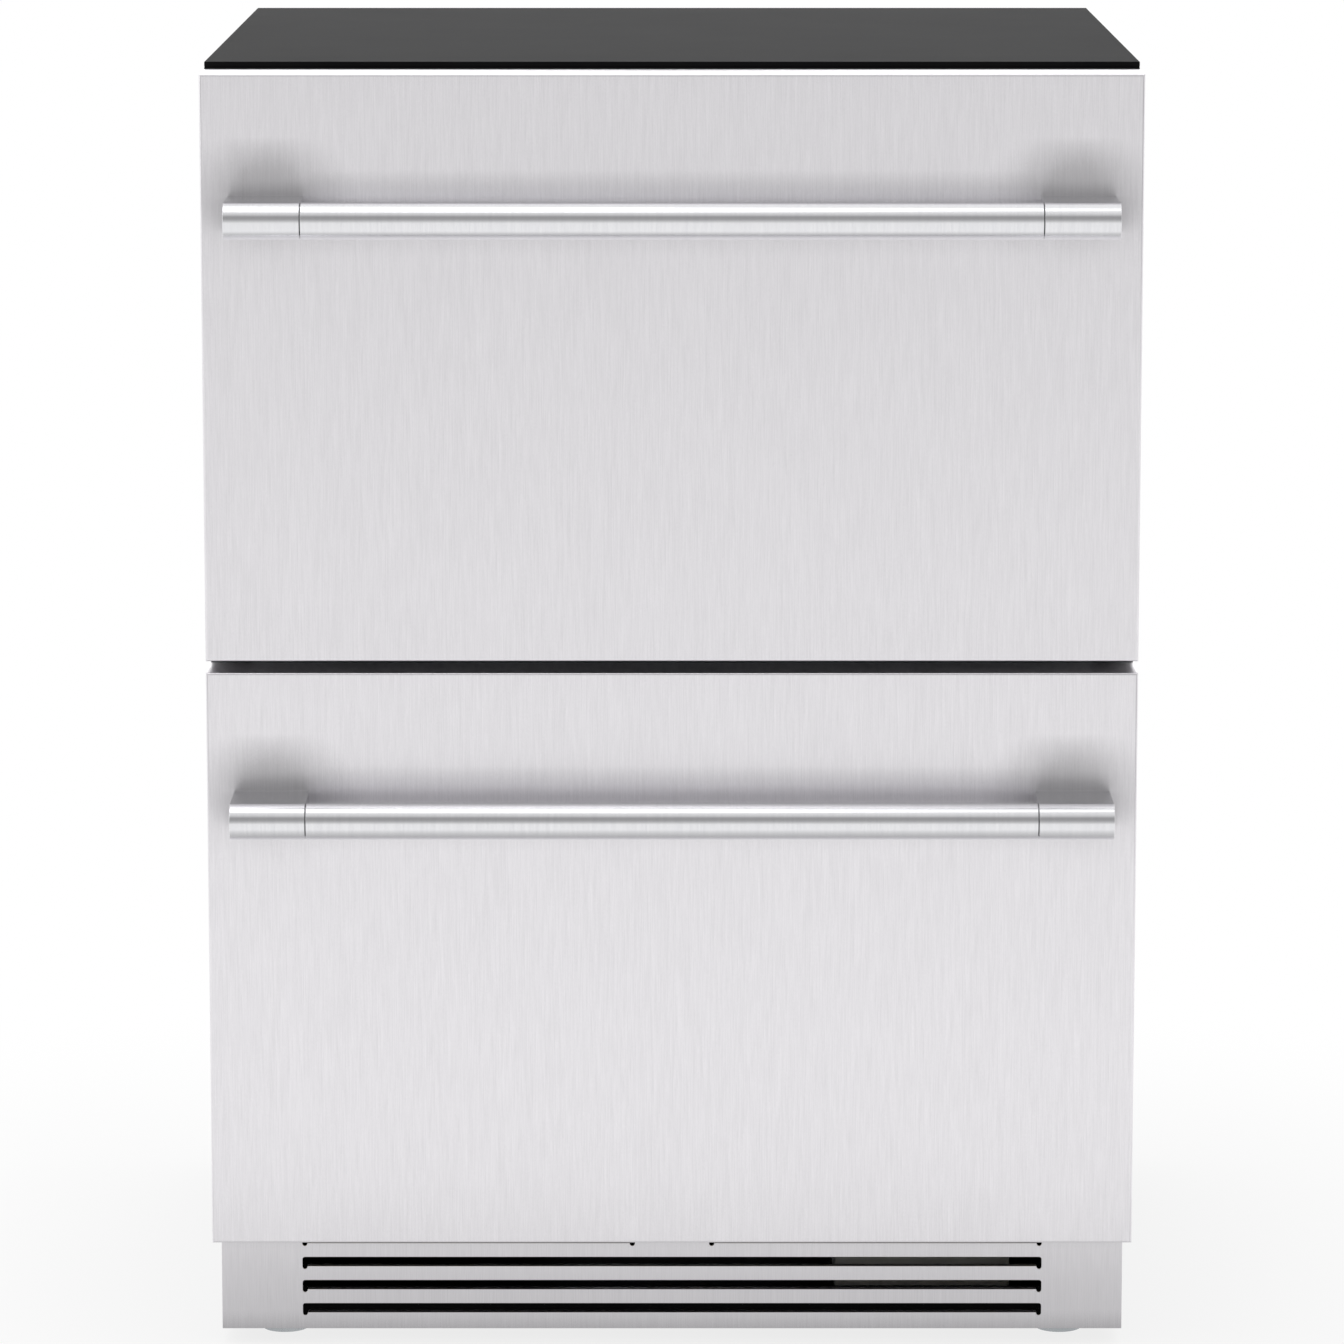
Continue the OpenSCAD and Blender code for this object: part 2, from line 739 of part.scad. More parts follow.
// fan blades on a hub with its shaft, turning about Y, drawn at the hub's middle; the motor's
// face is at distance to_motor behind it
module fan(d, to_motor) {
  shaft_l = to_motor - hub_half + bore_l - shaft_end;
  pitch_deg = 28;
  blade_t = 1.6;
  rotate([90, 0, 0]) {
    translate([0, 0, -hub_half]) cylinder(d = hub_d, h = 2 * hub_half);
    for (i = [0 : blades - 1]) rotate([0, 0, i * 360 / blades]) intersection() {
      translate([0, 0, -hub_half]) cylinder(d = d, h = 2 * hub_half);
      rotate([pitch_deg, 0, 0]) translate([hub_d / 2 - 2, -d / 7, -blade_t / 2])
        cube([d / 2, d / 3.5, blade_t]);
    }
    translate([0, 0, -hub_half - shaft_l]) cylinder(d = shaft_d, h = shaft_l + eps);
  }
}

// a round motor behind the fan, with a bore for the fan's shaft, drawn at its front face
module motor(d, length) {
  lip = 3;
  lip_t = 4;
  rotate([-90, 0, 0]) difference() {
    union() {
      cylinder(d = d, h = length);
      cylinder(d = d + 2 * lip, h = lip_t);
    }
    translate([0, 0, -eps]) cylinder(d = shaft_d + 2 * shaft_gap, h = bore_l + eps);
  }
}

module condenser_shroud() {
  ring_r = cond_fan_d / 2 + 3;
  wall = 2;
  high = z_cond + cond_h;
  color([0.15, 0.15, 0.15]) difference() {
    union() {
      block([x_cond - cond_l / 2, y_shroud, z_on_pan], [x_cond + cond_l / 2, y_shroud + wall, high]);
      translate([x_cond, y_shroud, z_fan]) rotate([-90, 0, 0])
        cylinder(r = ring_r + wall, h = shroud_d);
    }
    translate([x_cond, y_shroud - eps, z_fan]) rotate([-90, 0, 0])
      cylinder(r = ring_r, h = shroud_d + 2 * eps);
  }
}

// the motor hangs on two bars across the shroud's ring
module condenser_fan_motor() {
  bar = 5;
  reach = cond_fan_d / 2 + 4;
  shaft_room = 2;
  color("silver") {
    translate([x_cond, y_motor, z_fan]) motor(motor_d, motor_l);
    difference() {
      for (a = [45, -45]) translate([x_cond, y_shroud + shroud_d + bar / 2, z_fan])
        rotate([0, a, 0]) cube([2 * reach, bar, bar * 2], center = true);
      translate([x_cond, y_shroud, z_fan]) rotate([-90, 0, 0])
        cylinder(d = shaft_d + 2 * shaft_room, h = shroud_d + motor_l);
    }
  }
}

module condenser_fan() {
  color([0.2, 0.2, 0.2])
    translate([x_cond, y_cond_fan, z_fan]) fan(cond_fan_d, y_motor - y_cond_fan);
}

module drip_tray() {
  tray_h = 26;
  wall = 2;
  low = [x_drain - tray_w / 2, y_tray, z_on_pan];
  color([0.2, 0.2, 0.2]) difference() {
    block(low, low + [tray_w, tray_d, tray_h]);
    block(low + [wall, wall, wall], low + [tray_w - wall, tray_d - wall, tray_h + eps]);
  }
}

drain_r = 6;
drain_wall = 1.5;
x_drain = 0;
z_drain_in = z_floor_upper + 2; // the drain's mouth stands just above the liner's floor
y_drain_in = y_liner - 14;
z_drain_out = z_on_pan + 34; // and it ends above the drip tray

// from the gutter under the evaporator back into the wall and down to the drip tray
module drain_route(grow) {
  z_turn = z_floor_upper - divider_h / 2;
  pipe([[x_drain, y_drain_in, z_drain_in], [x_drain, y_drain_in, z_turn],
    [x_drain, y_line, z_turn], [x_drain, y_line, z_drain_out]], drain_r + grow);
}

module drain_tube() {
  mouth_l = 12;
  end_l = 60;
  color("white") difference() {
    drain_route(0);
    translate([x_drain, y_line, z_drain_out - eps]) cylinder(r = drain_r - drain_wall, h = end_l);
    translate([x_drain, y_drain_in, z_drain_in - mouth_l])
      cylinder(r = drain_r - drain_wall, h = mouth_l + eps);
  }
}

x_drier = suction_stub.x - 26;
y_drier = y_back - sheet_t - 24;
z_drier = z_on_pan + 60;
drier_l = 84; // length of the filter drier
drier_r = 9; // and its radius

module filter_drier() {
  taper = 12;
  neck_r = 3;
  color("peru") translate([x_drier, y_drier, z_drier]) {
    translate([0, 0, taper]) cylinder(r = drier_r, h = drier_l - 2 * taper);
    cylinder(r1 = neck_r, r2 = drier_r, h = taper);
    translate([0, 0, drier_l - taper]) cylinder(r1 = drier_r, r2 = neck_r, h = taper);
  }
}

suction_r = 4; // radius of the suction line
thin_r = 2.5; // of the discharge and liquid lines
capillary_r = 1.5; // and of the capillary
x_coil_end = evap_l / 2 + evap_pass / 2 + coil_d / 2;
x_capillary = x_coil_end + 8;
x_suction = x_capillary + 14;
evap_row = evap_block_d / 4;
z_evap_end = z_evap + evap_pass / 2;
z_cond_end = z_cond + cond_pass / 2;
x_cond_end = x_cond + cond_l / 2;
x_cond_bend = x_cond_end + cond_pass / 2 + coil_d / 2;

// suction line: evaporator, back wall, compressor
function suction_points() = let (x_down = suction_stub.x - 10, z_turn = z_step + 24)
  [[evap_l / 2, y_evap + evap_row, z_evap_end], [x_suction, y_evap + evap_row, z_evap_end],
   [x_suction, y_line, z_evap_end], [x_suction, y_line, z_turn], [x_down, y_line, z_turn],
   [x_down, y_line, suction_stub.z], [x_down, y_comp, suction_stub.z], suction_stub];

// discharge line: compressor to the condenser's front row
function discharge_points() = let (x = x_cond_bend + 6, y = y_cond + cond_d / 4)
  [discharge_stub, [x, discharge_stub.y, discharge_stub.z], [x, y, discharge_stub.z],
   [x, y, z_cond_end], [x_cond_end, y, z_cond_end]];

// liquid line: condenser's rear row, between compressor and drip tray, to the filter drier
function liquid_points() = let (y = y_cond + cond_d * 3 / 4)
  [[x_cond_end, y, z_cond_end], [x_drier, y, z_cond_end], [x_drier, y_drier, z_cond_end],
   [x_drier, y_drier, z_drier]];

// capillary: filter drier, back wall, evaporator, crossing over the suction line
function capillary_points() = let (z_over = z_evap_end + 25, z_turn = z_step + 48,
    z_low = z_room - 8, y = y_evap - evap_row)
  [[x_drier, y_drier, z_drier + drier_l], [x_drier, y_drier, z_low], [x_drier, y_line, z_low],
   [x_drier, y_line, z_turn], [x_capillary, y_line, z_turn], [x_capillary, y_line, z_over],
   [x_capillary, y, z_over], [x_capillary, y, z_evap_end], [evap_l / 2, y, z_evap_end]];

module line_routes(grow) {
  pipe(suction_points(), suction_r + grow);
  pipe(capillary_points(), capillary_r + grow);
}

module refrigerant_lines() {
  color("peru") {
    line_routes(0);
    pipe(discharge_points(), thin_r);
    pipe(liquid_points(), thin_r);
  }
}

// ---- cold side ----

module evaporator_coil() {
  color("gainsboro") translate([0, y_evap, z_evap]) finned_block(evap_l, evap_pass, evap_block_d);
}

module evaporator_cover() {
  wall = 2;
  margin = 2;
  rib = 24;
  spoke = 3;
  boss_r = 12;
  rows = 5;
  slot_x = 180;
  slot_w = 110;
  slot_z = 16;
  slot_up = 6;
  pitch = 12;
  color([0.36, 0.37, 0.38]) difference() {
    union() {
      upright(y_cover, wall) round_rect([-x_cav + margin, z_floor_upper + margin],
        [x_cav - margin, z_ceil_upper - margin], liner_r - margin);
      both_sides() block([x_cav - rib - wall, y_cover, z_floor_upper + liner_r],
        [x_cav - rib, y_liner, z_ceil_upper - liner_r]);
    }
    translate([0, y_cover - eps, z_evap_fan]) rotate([-90, 0, 0])
      difference() {
        cylinder(d = evap_fan_d - 2 * wall, h = wall + 2 * eps);
        for (a = [0, 60, 120]) rotate([0, 0, a])
          translate([-evap_fan_d, -spoke / 2, -eps]) cube([2 * evap_fan_d, spoke, wall + 4 * eps]);
        translate([0, 0, -eps]) cylinder(r = boss_r, h = wall + 4 * eps);
      }
    for (i = [0 : rows - 1]) both_sides() translate([0, 0, z_floor_upper + slot_z + i * pitch])
      block([slot_x - slot_w / 2, y_cover - eps, 0], [slot_x + slot_w / 2, y_cover + wall + eps, slot_up]);
  }
}

module evaporator_fan_motor() {
  d = 36;
  length = 24;
  bar = 4;
  half = 6;
  cover_t = 2;
  reach = evap_fan_d / 2 + 8;
  y_end = y_evap_motor + length;
  color("white") {
    translate([0, y_evap_motor, z_evap_fan]) motor(d, length);
    block([-reach, y_end - bar, z_evap_fan - half], [reach, y_end, z_evap_fan + half]);
    both_sides() block([reach - bar, y_cover + cover_t, z_evap_fan - half],
      [reach, y_end, z_evap_fan + half]);
  }
}

module evaporator_fan() {
  color([0.9, 0.9, 0.9])
    translate([0, y_evap_fan, z_evap_fan]) fan(evap_fan_d, y_evap_motor - y_evap_fan);
}

module lower_duct_cover() {
  half = 130;
  depth = 15;
  wall = 2;
  above_step = 30;
  under_ceiling = 18;
  rows = 4;
  slot_margin = 30;
  slot_up = 6;
  pitch = 16;
  y_duct = y_liner - depth;
  z0 = z_step + above_step;
  z1 = z_ceil_lower - under_ceiling;
  color([0.36, 0.37, 0.38]) difference() {
    block([-half, y_duct, z0], [half, y_liner, z1]);
    block([-half + wall, y_duct + wall, z0 + wall], [half - wall, y_liner + eps, z1 - wall]);
    for (i = [0 : rows - 1]) translate([0, 0, z1 - slot_margin - i * pitch])
      block([-half + slot_margin, y_duct - eps, 0],
        [half - slot_margin, y_duct + wall + eps, slot_up]);
  }
}

// ---- controls and lamps ----

// a closed housing with the circuit board on its floor
module control_board() {
  box_w = 120;
  box_d = 90;
  box_h = 40;
  size = [box_w, box_d, box_h];
  from_side = 70;
  from_pan = 74;
  wall = 2;
  board_up = 10;
  board_t = 2;
  low = [x_in - from_side - size.x, y_pan + from_pan, z_on_pan];
  inner = [wall, wall, wall];
  color("gainsboro") difference() {
    block(low, low + size);
    block(low + inner, low + size - inner);
  }
  color("darkgreen") block(low + [wall, wall, wall + board_up],
    low + [size.x - wall, size.y - wall, wall + board_up + board_t]);
}

module control_panel() {
  y0 = y_frame + panel_back;
  face_t = 2;
  rim = 3;
  color([0.1, 0.1, 0.1]) {
    block([-panel_w / 2, y0, z_ceil_upper - panel_h + face_t],
      [panel_w / 2, y0 + panel_d, z_ceil_upper]);
    block([-panel_w / 2 + rim, y0 + rim, z_ceil_upper - panel_h],
      [panel_w / 2 - rim, y0 + panel_d - rim, z_ceil_upper - panel_h + face_t]);
  }
}

module led_lamps() {
  y0 = y_frame + lamp_back;
  color("white") for (z = [z_ceil_upper, z_ceil_lower])
    block([-lamp_l / 2, y0, z - lamp_h], [lamp_l / 2, y0 + lamp_w, z]);
}

// one on the upper liner's right wall and one on the lower liner's left wall
module temperature_sensors() {
  base_t = 2;
  color("white") for (p = [[1, z_ceil_upper], [-1, z_ceil_lower]])
    translate([p[0] * x_cav, y_cover - sensor_front, p[1] - sensor_down])
      rotate([0, -p[0] * 90, 0]) {
        cylinder(r = sensor_r, h = sensor_h);
        cylinder(r = sensor_r + base_t, h = base_t);
      }
}

// an appliance inlet in the rear cover, whose flange sits behind the sheet
module power_inlet() {
  wall = 7.5;
  lid_wall = 6;
  floor_t = 4.5;
  flange = 4;
  flange_t = 2;
  color([0.08, 0.08, 0.08]) translate([x_inlet, y_back, z_inlet]) difference() {
    union() {
      block([-inlet_w / 2, -inlet_d, -inlet_h / 2], [inlet_w / 2, 0, inlet_h / 2]);
      block([-inlet_w / 2 - flange, -sheet_t - flange_t, -inlet_h / 2 - flange],
        [inlet_w / 2 + flange, -sheet_t, inlet_h / 2 + flange]);
    }
    block([-inlet_w / 2 + wall, -inlet_d + floor_t, -inlet_h / 2 + lid_wall],
      [inlet_w / 2 - wall, eps, inlet_h / 2 - lid_wall]);
  }
}

// ---- levelling legs ----

// a foot and its threaded stud, standing on the floor
module leg(x, y) {
  chamfer = 2;
  color("silver") translate([x, y, 0]) {
    cylinder(d = foot_d, h = foot_h - chamfer);
    translate([0, 0, foot_h - chamfer]) cylinder(d1 = foot_d, d2 = foot_d - 8, h = chamfer);
    cylinder(d = stud_d, h = foot_h + stud_l);
  }
}

module leg_front_left() { leg(-x_out + leg_in, y_leg_front); }
module leg_front_right() { leg(x_out - leg_in, y_leg_front); }
module leg_rear_left() { leg(-x_out + leg_in, y_leg_rear); }
module leg_rear_right() { leg(x_out - leg_in, y_leg_rear); }

// ---- drawer fronts, drawn for one front's lower edge at z ----

screw_gap = 0.25; // clearance round the handle screws in the front

// the front's outer block, with its four front edges rounded
module front_block(z) {
  r = skin_r;
  y1 = y_front_back - inner_t;
  intersection() {
    translate([0, 0, z]) linear_extrude(front_h) {
      translate([-x_out + r, y_face]) square([cab_w - 2 * r, y1 - y_face]);
      translate([-x_out, y_face + r]) square([cab_w, y1 - y_face - r]);
      for (x = [-x_out + r, x_out - r]) translate([x, y_face + r]) circle(r);
    }
    across(-x_out, x_out) {
      translate([y_face, z + r]) square([y1 - y_face, front_h - 2 * r]);
      translate([y_face + r, z]) square([y1 - y_face - r, front_h]);
      for (h = [z + r, z + front_h - r]) translate([y_face + r, h]) circle(r);
    }
  }
}

module handle_screw_places(z) {
  x_mid = handle_l / 2 - bracket_l / 2;
  for (s = [-1, 1], k = [-0.5, 0.5])
    translate([s * x_mid + k * screw_pitch, 0, z + front_h - bar_drop]) children();
}

// from y0 back to y1, along the screws
module along_screws(z, y0, y1, r) {
  handle_screw_places(z) translate([0, y0, 0]) rotate([-90, 0, 0]) cylinder(r = r, h = y1 - y0);
}

module front_skin(z) {
  color([0.86, 0.85, 0.87]) difference() {
    front_block(z);
    block([-x_out + skin_t, y_face + skin_t, z + skin_t],
      [x_out - skin_t, y_front_back, z + front_h - skin_t]);
    along_screws(z, y_face - eps, y_face + skin_t + eps, screw_d / 2 + screw_gap);
  }
}

module plug_space(z0, z1, inset) {
  block([-x_cav + plug_gap + inset, y_front_back - inner_t - eps, z0 + plug_gap + inset],
    [x_cav - plug_gap - inset, y_plug - inset, z1 - plug_gap - inset]);
}

module front_foam(z, z0, z1) {
  color("khaki") difference() {
    union() {
      block([-x_out + skin_t, y_face + skin_t, z + skin_t],
        [x_out - skin_t, y_front_back - inner_t, z + front_h - skin_t]);
      plug_space(z0, z1, inner_t);
    }
    along_screws(z, y_face, y_face + skin_t + screw_head_h + eps, screw_head_d / 2 + 2 * screw_gap);
  }
}

// a moulded panel whose raised middle enters the compartment
module front_inner(z, z0, z1) {
  color([0.55, 0.56, 0.57]) difference() {
    union() {
      block([-x_out, y_front_back - inner_t, z], [x_out, y_front_back, z + front_h]);
      intersection() {
        plug_space(z0, z1, 0);
        block([-x_out, y_front_back - inner_t, 0], [x_out, y_plug, cab_h]);
      }
    }
    plug_space(z0, z1, inner_t);
  }
}

module ring(x, z0, z1, y0, y1, w) {
  upright(y0, y1 - y0) difference() {
    translate([-x, z0]) square([2 * x, z1 - z0]);
    translate([-x + w, z0 + w]) square([2 * (x - w), z1 - z0 - 2 * w]);
  }
}

// a foot against the front and a narrower magnet strip against the frame
module gasket(z) {
  x = x_out - gasket_inset;
  foot = 2;
  step = 1.5;
  color([0.2, 0.2, 0.2]) {
    ring(x, z + gasket_inset, z + front_h - gasket_inset, y_front_back, y_front_back + foot, gasket_w);
    ring(x - step, z + gasket_inset + step, z + front_h - gasket_inset - step,
      y_front_back, y_frame - gasket_gap, gasket_w - 2 * step);
  }
}

// ---- handles ----

// a tube that the brackets' spigots hold, with a thin groove at each end
module handle_bar(z) {
  half = handle_l / 2 - bracket_l - joint_w;
  color("silver") translate([-half, y_bar, z + front_h - bar_drop]) rotate([0, 90, 0])
    difference() {
      cylinder(d = bar_d, h = 2 * half);
      translate([0, 0, -eps]) cylinder(d = bar_d - 2 * bar_wall, h = 2 * (half + eps));
    }
}

// round in front like the bar, with flat sides back to the drawer front
module handle_brackets(z) {
  x_end = handle_l / 2 - bracket_l;
  fit = 0.05;
  color("gainsboro") difference() {
    translate([0, y_bar, z + front_h - bar_drop]) both_sides() {
      across(x_end, x_end + bracket_l) union() {
        circle(d = bar_d);
        translate([0, -bar_d / 2]) square([bar_out, bar_d]);
      }
      translate([x_end - spigot_l, 0, 0]) rotate([0, 90, 0])
        cylinder(d = bar_d - 2 * bar_wall - 2 * fit, h = spigot_l + eps);
    }
    along_screws(z, y_face - screw_bite, y_face + eps, screw_d / 2 + fit);
  }
}

module handle_screws(z) {
  y_head = y_face + skin_t;
  color("silver") {
    along_screws(z, y_face - screw_bite + 2 * screw_gap, y_head + eps, screw_d / 2);
    along_screws(z, y_head, y_head + screw_head_h, screw_head_d / 2);
  }
}

// ---- slides, drawn for their centre line at z ----

// runs a drawing of the slide's section along Y on both sides
module rail(z, y0, y1) {
  both_sides() translate([x_cav, y1, z]) rotate([90, 0, 0]) linear_extrude(y1 - y0)
    mirror([1, 0]) children();
}

// a channel from u0 to u1, open on the side away from its web
module channel(u0, u1, half, t) {
  difference() {
    translate([u0, -half]) square([u1 - u0, 2 * half]);
    translate([u0 + t, -half + t]) square([u1 - u0 + eps, 2 * (half - t)]);
  }
}

module slide_outer(z) {
  color("silver") rail(z, y_rail, y_rail + rail_l) channel(0, outer_u, slide_h / 2, rail_t);
}

// balls in cages near both ends of the middle rail
module balls(z, v, r) {
  y0 = y_rail + middle_cut + ball_margin;
  y1 = y_rail + rail_l - middle_cut - ball_margin;
  for (s = [-1, 1], k = [0 : ball_count - 1], y = [y0 + k * ball_pitch, y1 - k * ball_pitch])
    translate([x_cav - ball_u, y, z + s * v]) sphere(r, $fn = 24);
}

module slide_middle(z) {
  color("gainsboro") {
    rail(z, y_rail + middle_cut, y_rail + rail_l - middle_cut)
      channel(middle_u, middle_u_end, middle_v, rail_t);
    both_sides() {
      balls(z, middle_v + ball_r - ball_sunk, ball_r);
      balls(z, inner_track_v - ball_r + ball_sunk, ball_r);
    }
  }
}

module slide_inner(z) {
  color("silver") rail(z, y_rail, y_rail + rail_l) mirror([1, 0]) translate([-slide_t, 0])
    channel(0, slide_t - inner_u, inner_v, rail_t);
}

// ---- drawer frames and bins ----

module arm(z) {
  across(x_arm_in, x_arm) polygon([[y_plug, z - arm_low], [y_arm_end, z - arm_low],
    [y_arm_end, z + arm_high], [y_plug + gusset_l, z + arm_high],
    [y_plug + gusset_l / 2, z + gusset_up], [y_plug, z + gusset_up]]);
  block([x_ledge, y_plug, z - arm_low], [x_arm, y_arm_end, z - arm_low + arm_t]);
  block([x_ledge, y_plug, z - arm_low], [x_arm, y_plug + arm_t, z + gusset_up]);
}

module drawer_frame(z) {
  color("silver") {
    both_sides() arm(z);
    block([-x_arm, y_arm_end - arm_t, z - arm_low], [x_arm, y_arm_end, z + arm_high]);
  }
}

// the wide upper part sits on the frame's ledges, and the narrower part hangs between them
module bin(z_slide, z_low, z_rim, y_low_end) {
  z_seat = z_slide - arm_low + arm_t;
  t = bin_t;
  color([0.75, 0.77, 0.78]) difference() {
    union() {
      round_box([-x_bin, y_bin, z_seat], [x_bin, y_bin_end, z_rim], bin_r);
      round_box([-x_bin_low, y_bin, z_low], [x_bin_low, y_low_end, z_seat + t], bin_r);
      round_box([-x_bin - rim_w, y_bin - rim_w / 2, z_rim - rim_t],
        [x_bin + rim_w, y_bin_end, z_rim], bin_r);
    }
    round_box([-x_bin + t, y_bin + t, z_seat + t], [x_bin - t, y_bin_end - t, z_rim + eps],
      bin_r - t);
    round_box([-x_bin_low + t, y_bin + t, z_low + t],
      [x_bin_low - t, y_low_end - t, z_seat + t + eps], bin_r - t);
  }
}

// ---- upper drawer ----

module upper_front_skin() { front_skin(z_front_upper); }
module upper_front_foam() { front_foam(z_front_upper, z_floor_upper, z_ceil_upper); }
module upper_front_inner() { front_inner(z_front_upper, z_floor_upper, z_ceil_upper); }
module upper_gasket() { gasket(z_front_upper); }
module upper_handle_bar() { handle_bar(z_front_upper); }
module upper_handle_brackets() { handle_brackets(z_front_upper); }
module upper_handle_screws() { handle_screws(z_front_upper); }
module upper_drawer_frame() { drawer_frame(z_slide_upper); }
module upper_slide_outer() { slide_outer(z_slide_upper); }
module upper_slide_middle() { slide_middle(z_slide_upper); }
module upper_slide_inner() { slide_inner(z_slide_upper); }
module upper_bin() {
  bin(z_slide_upper, z_floor_upper + bin_under, z_ceil_upper - bin_over, y_bin_end);
}

// ---- lower drawer ----

module lower_front_skin() { front_skin(z_front_lower); }
module lower_front_foam() { front_foam(z_front_lower, z_floor_lower, z_ceil_lower); }
module lower_front_inner() { front_inner(z_front_lower, z_floor_lower, z_ceil_lower); }
module lower_gasket() { gasket(z_front_lower); }
module lower_handle_bar() { handle_bar(z_front_lower); }
module lower_handle_brackets() { handle_brackets(z_front_lower); }
module lower_handle_screws() { handle_screws(z_front_lower); }
module lower_drawer_frame() { drawer_frame(z_slide_lower); }
module lower_slide_outer() { slide_outer(z_slide_lower); }
module lower_slide_middle() { slide_middle(z_slide_lower); }
module lower_slide_inner() { slide_inner(z_slide_lower); }
module lower_bin() {
  bin(z_slide_lower, z_floor_lower + bin_under, z_ceil_lower - bin_over, y_step - bin_under);
}

side_panel_left();
side_panel_right();
top_panel();
back_panel();
base_pan();
front_frame();
divider_trim();
upper_liner();
lower_liner();
cabinet_insulation();
toe_kick_grille();
rear_cover();
compressor();
compressor_grommets();
condenser_coil();
condenser_shroud();
condenser_fan_motor();
condenser_fan();
drip_tray();
drain_tube();
filter_drier();
refrigerant_lines();
evaporator_coil();
evaporator_cover();
evaporator_fan_motor();
evaporator_fan();
lower_duct_cover();
control_board();
control_panel();
led_lamps();
temperature_sensors();
power_inlet();
leg_front_left();
leg_front_right();
leg_rear_left();
leg_rear_right();
upper_front_skin();
upper_front_foam();
upper_front_inner();
upper_gasket();
upper_handle_bar();
upper_handle_brackets();
upper_handle_screws();
upper_drawer_frame();
upper_bin();
upper_slide_outer();
upper_slide_middle();
upper_slide_inner();
lower_front_skin();
lower_front_foam();
lower_front_inner();
lower_gasket();
lower_handle_bar();
lower_handle_brackets();
lower_handle_screws();
lower_drawer_frame();
lower_bin();
lower_slide_outer();
lower_slide_middle();
lower_slide_inner();
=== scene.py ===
# Undercounter refrigerator with two drawers: its finishes, its small parts and the studio.
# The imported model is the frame. Every piece here is in metres and in that frame.
import json
import math
import bmesh
import bpy
from mathutils import Matrix, Vector


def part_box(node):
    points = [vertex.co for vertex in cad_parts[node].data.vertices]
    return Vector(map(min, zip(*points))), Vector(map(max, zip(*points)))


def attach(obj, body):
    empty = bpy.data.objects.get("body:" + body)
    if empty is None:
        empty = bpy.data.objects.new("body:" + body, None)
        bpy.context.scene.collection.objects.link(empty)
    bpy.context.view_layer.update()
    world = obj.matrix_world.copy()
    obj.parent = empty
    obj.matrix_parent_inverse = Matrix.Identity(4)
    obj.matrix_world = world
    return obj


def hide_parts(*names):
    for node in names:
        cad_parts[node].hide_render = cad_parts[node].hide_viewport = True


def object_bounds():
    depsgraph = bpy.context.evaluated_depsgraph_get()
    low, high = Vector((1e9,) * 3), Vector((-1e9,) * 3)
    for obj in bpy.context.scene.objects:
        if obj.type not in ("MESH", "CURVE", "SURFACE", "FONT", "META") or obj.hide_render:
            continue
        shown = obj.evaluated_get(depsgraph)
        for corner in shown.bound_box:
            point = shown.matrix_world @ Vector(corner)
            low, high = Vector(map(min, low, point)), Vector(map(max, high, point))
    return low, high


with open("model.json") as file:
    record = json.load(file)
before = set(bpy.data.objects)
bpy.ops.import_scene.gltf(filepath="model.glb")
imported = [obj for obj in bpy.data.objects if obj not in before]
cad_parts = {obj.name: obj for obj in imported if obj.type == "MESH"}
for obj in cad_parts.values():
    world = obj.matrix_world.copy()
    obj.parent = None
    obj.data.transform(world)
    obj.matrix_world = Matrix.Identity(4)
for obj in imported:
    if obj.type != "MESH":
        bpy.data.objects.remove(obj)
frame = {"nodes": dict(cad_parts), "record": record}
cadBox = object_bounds()
nodes = frame["nodes"]
bodyOf = {}
for bodyName, members in frame["record"]["behaviour"]["bodies"].items():
    for member in members:
        bodyOf[member] = bodyName
slotOf = {part["node"]: part["material_slot"] for part in frame["record"]["subparts"]}
mm = 0.001
near = 0.1 * mm                    # points this close to a plane count as in it
drawers = ("upper", "lower")
print("frame loaded:", len(nodes), "nodes")


# ---- camera, floor and light ----

def linear(hexColour):
    # sRGB hex to the linear colour that shaders use
    values = [int(hexColour[i:i + 2], 16) / 255 for i in (1, 3, 5)]
    curve = [v / 12.92 if v <= 0.04045 else ((v + 0.055) / 1.055) ** 2.4 for v in values]
    return (*curve, 1.0)


def addNode(tree, kind, values=None, links=None, **settings):
    # one shader node: its settings, its socket values and what feeds its sockets
    node = tree.nodes.new("ShaderNode" + kind)
    for name, value in settings.items():
        setattr(node, name, value)
    for socket, value in (values or {}).items():
        node.inputs[socket].default_value = value
    for socket, source in (links or {}).items():
        tree.links.new(source, node.inputs[socket])
    return node


cameraPlace = {
    "lens": 173.5,             # mm on a 36 mm sensor
    "distance": 4.195,         # in front of the cabinet's front frame
    "height": 1.163,
    "tiltDegrees": 9.46,       # down from level
}


def makeCamera():
    data = bpy.data.cameras.new("camera")
    data.lens = cameraPlace["lens"]
    camera = bpy.data.objects.new("camera", data)
    bpy.context.scene.collection.objects.link(camera)
    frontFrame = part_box("front_frame")[0].y
    camera.location = (0, frontFrame - cameraPlace["distance"], cameraPlace["height"])
    camera.rotation_euler = (math.radians(90 - cameraPlace["tiltDegrees"]), 0, 0)
    bpy.context.scene.camera = camera


studio = {
    "floorRadius": 3.2,
    "floorColour": "#EDEDED",
    "shadowShare": 0.82,           # share of plain white on the floor beside the object
    "shadowReach": 0.55,           # distance from the object at which the floor is plain white
    "paintedFloorShadowInMetal": (0.6, 1.0),    # painted shadow: the floor's brightness in polished metal, beside and far away
    "paintedFloorShadowInMetalReach": 0.38,     # distance at which it has its far brightness
    "frontStrip": [                # elevation in degrees and brightness of the room in front
        (-90, 1.0), (-24, 1.0), (-14, 1.0), (-9, 0.97), (-4, 0.84), (2, 0.64),
        (12, 0.43), (24, 0.36), (32, 0.42), (42, 0.70), (52, 0.84), (90, 0.92)],
}


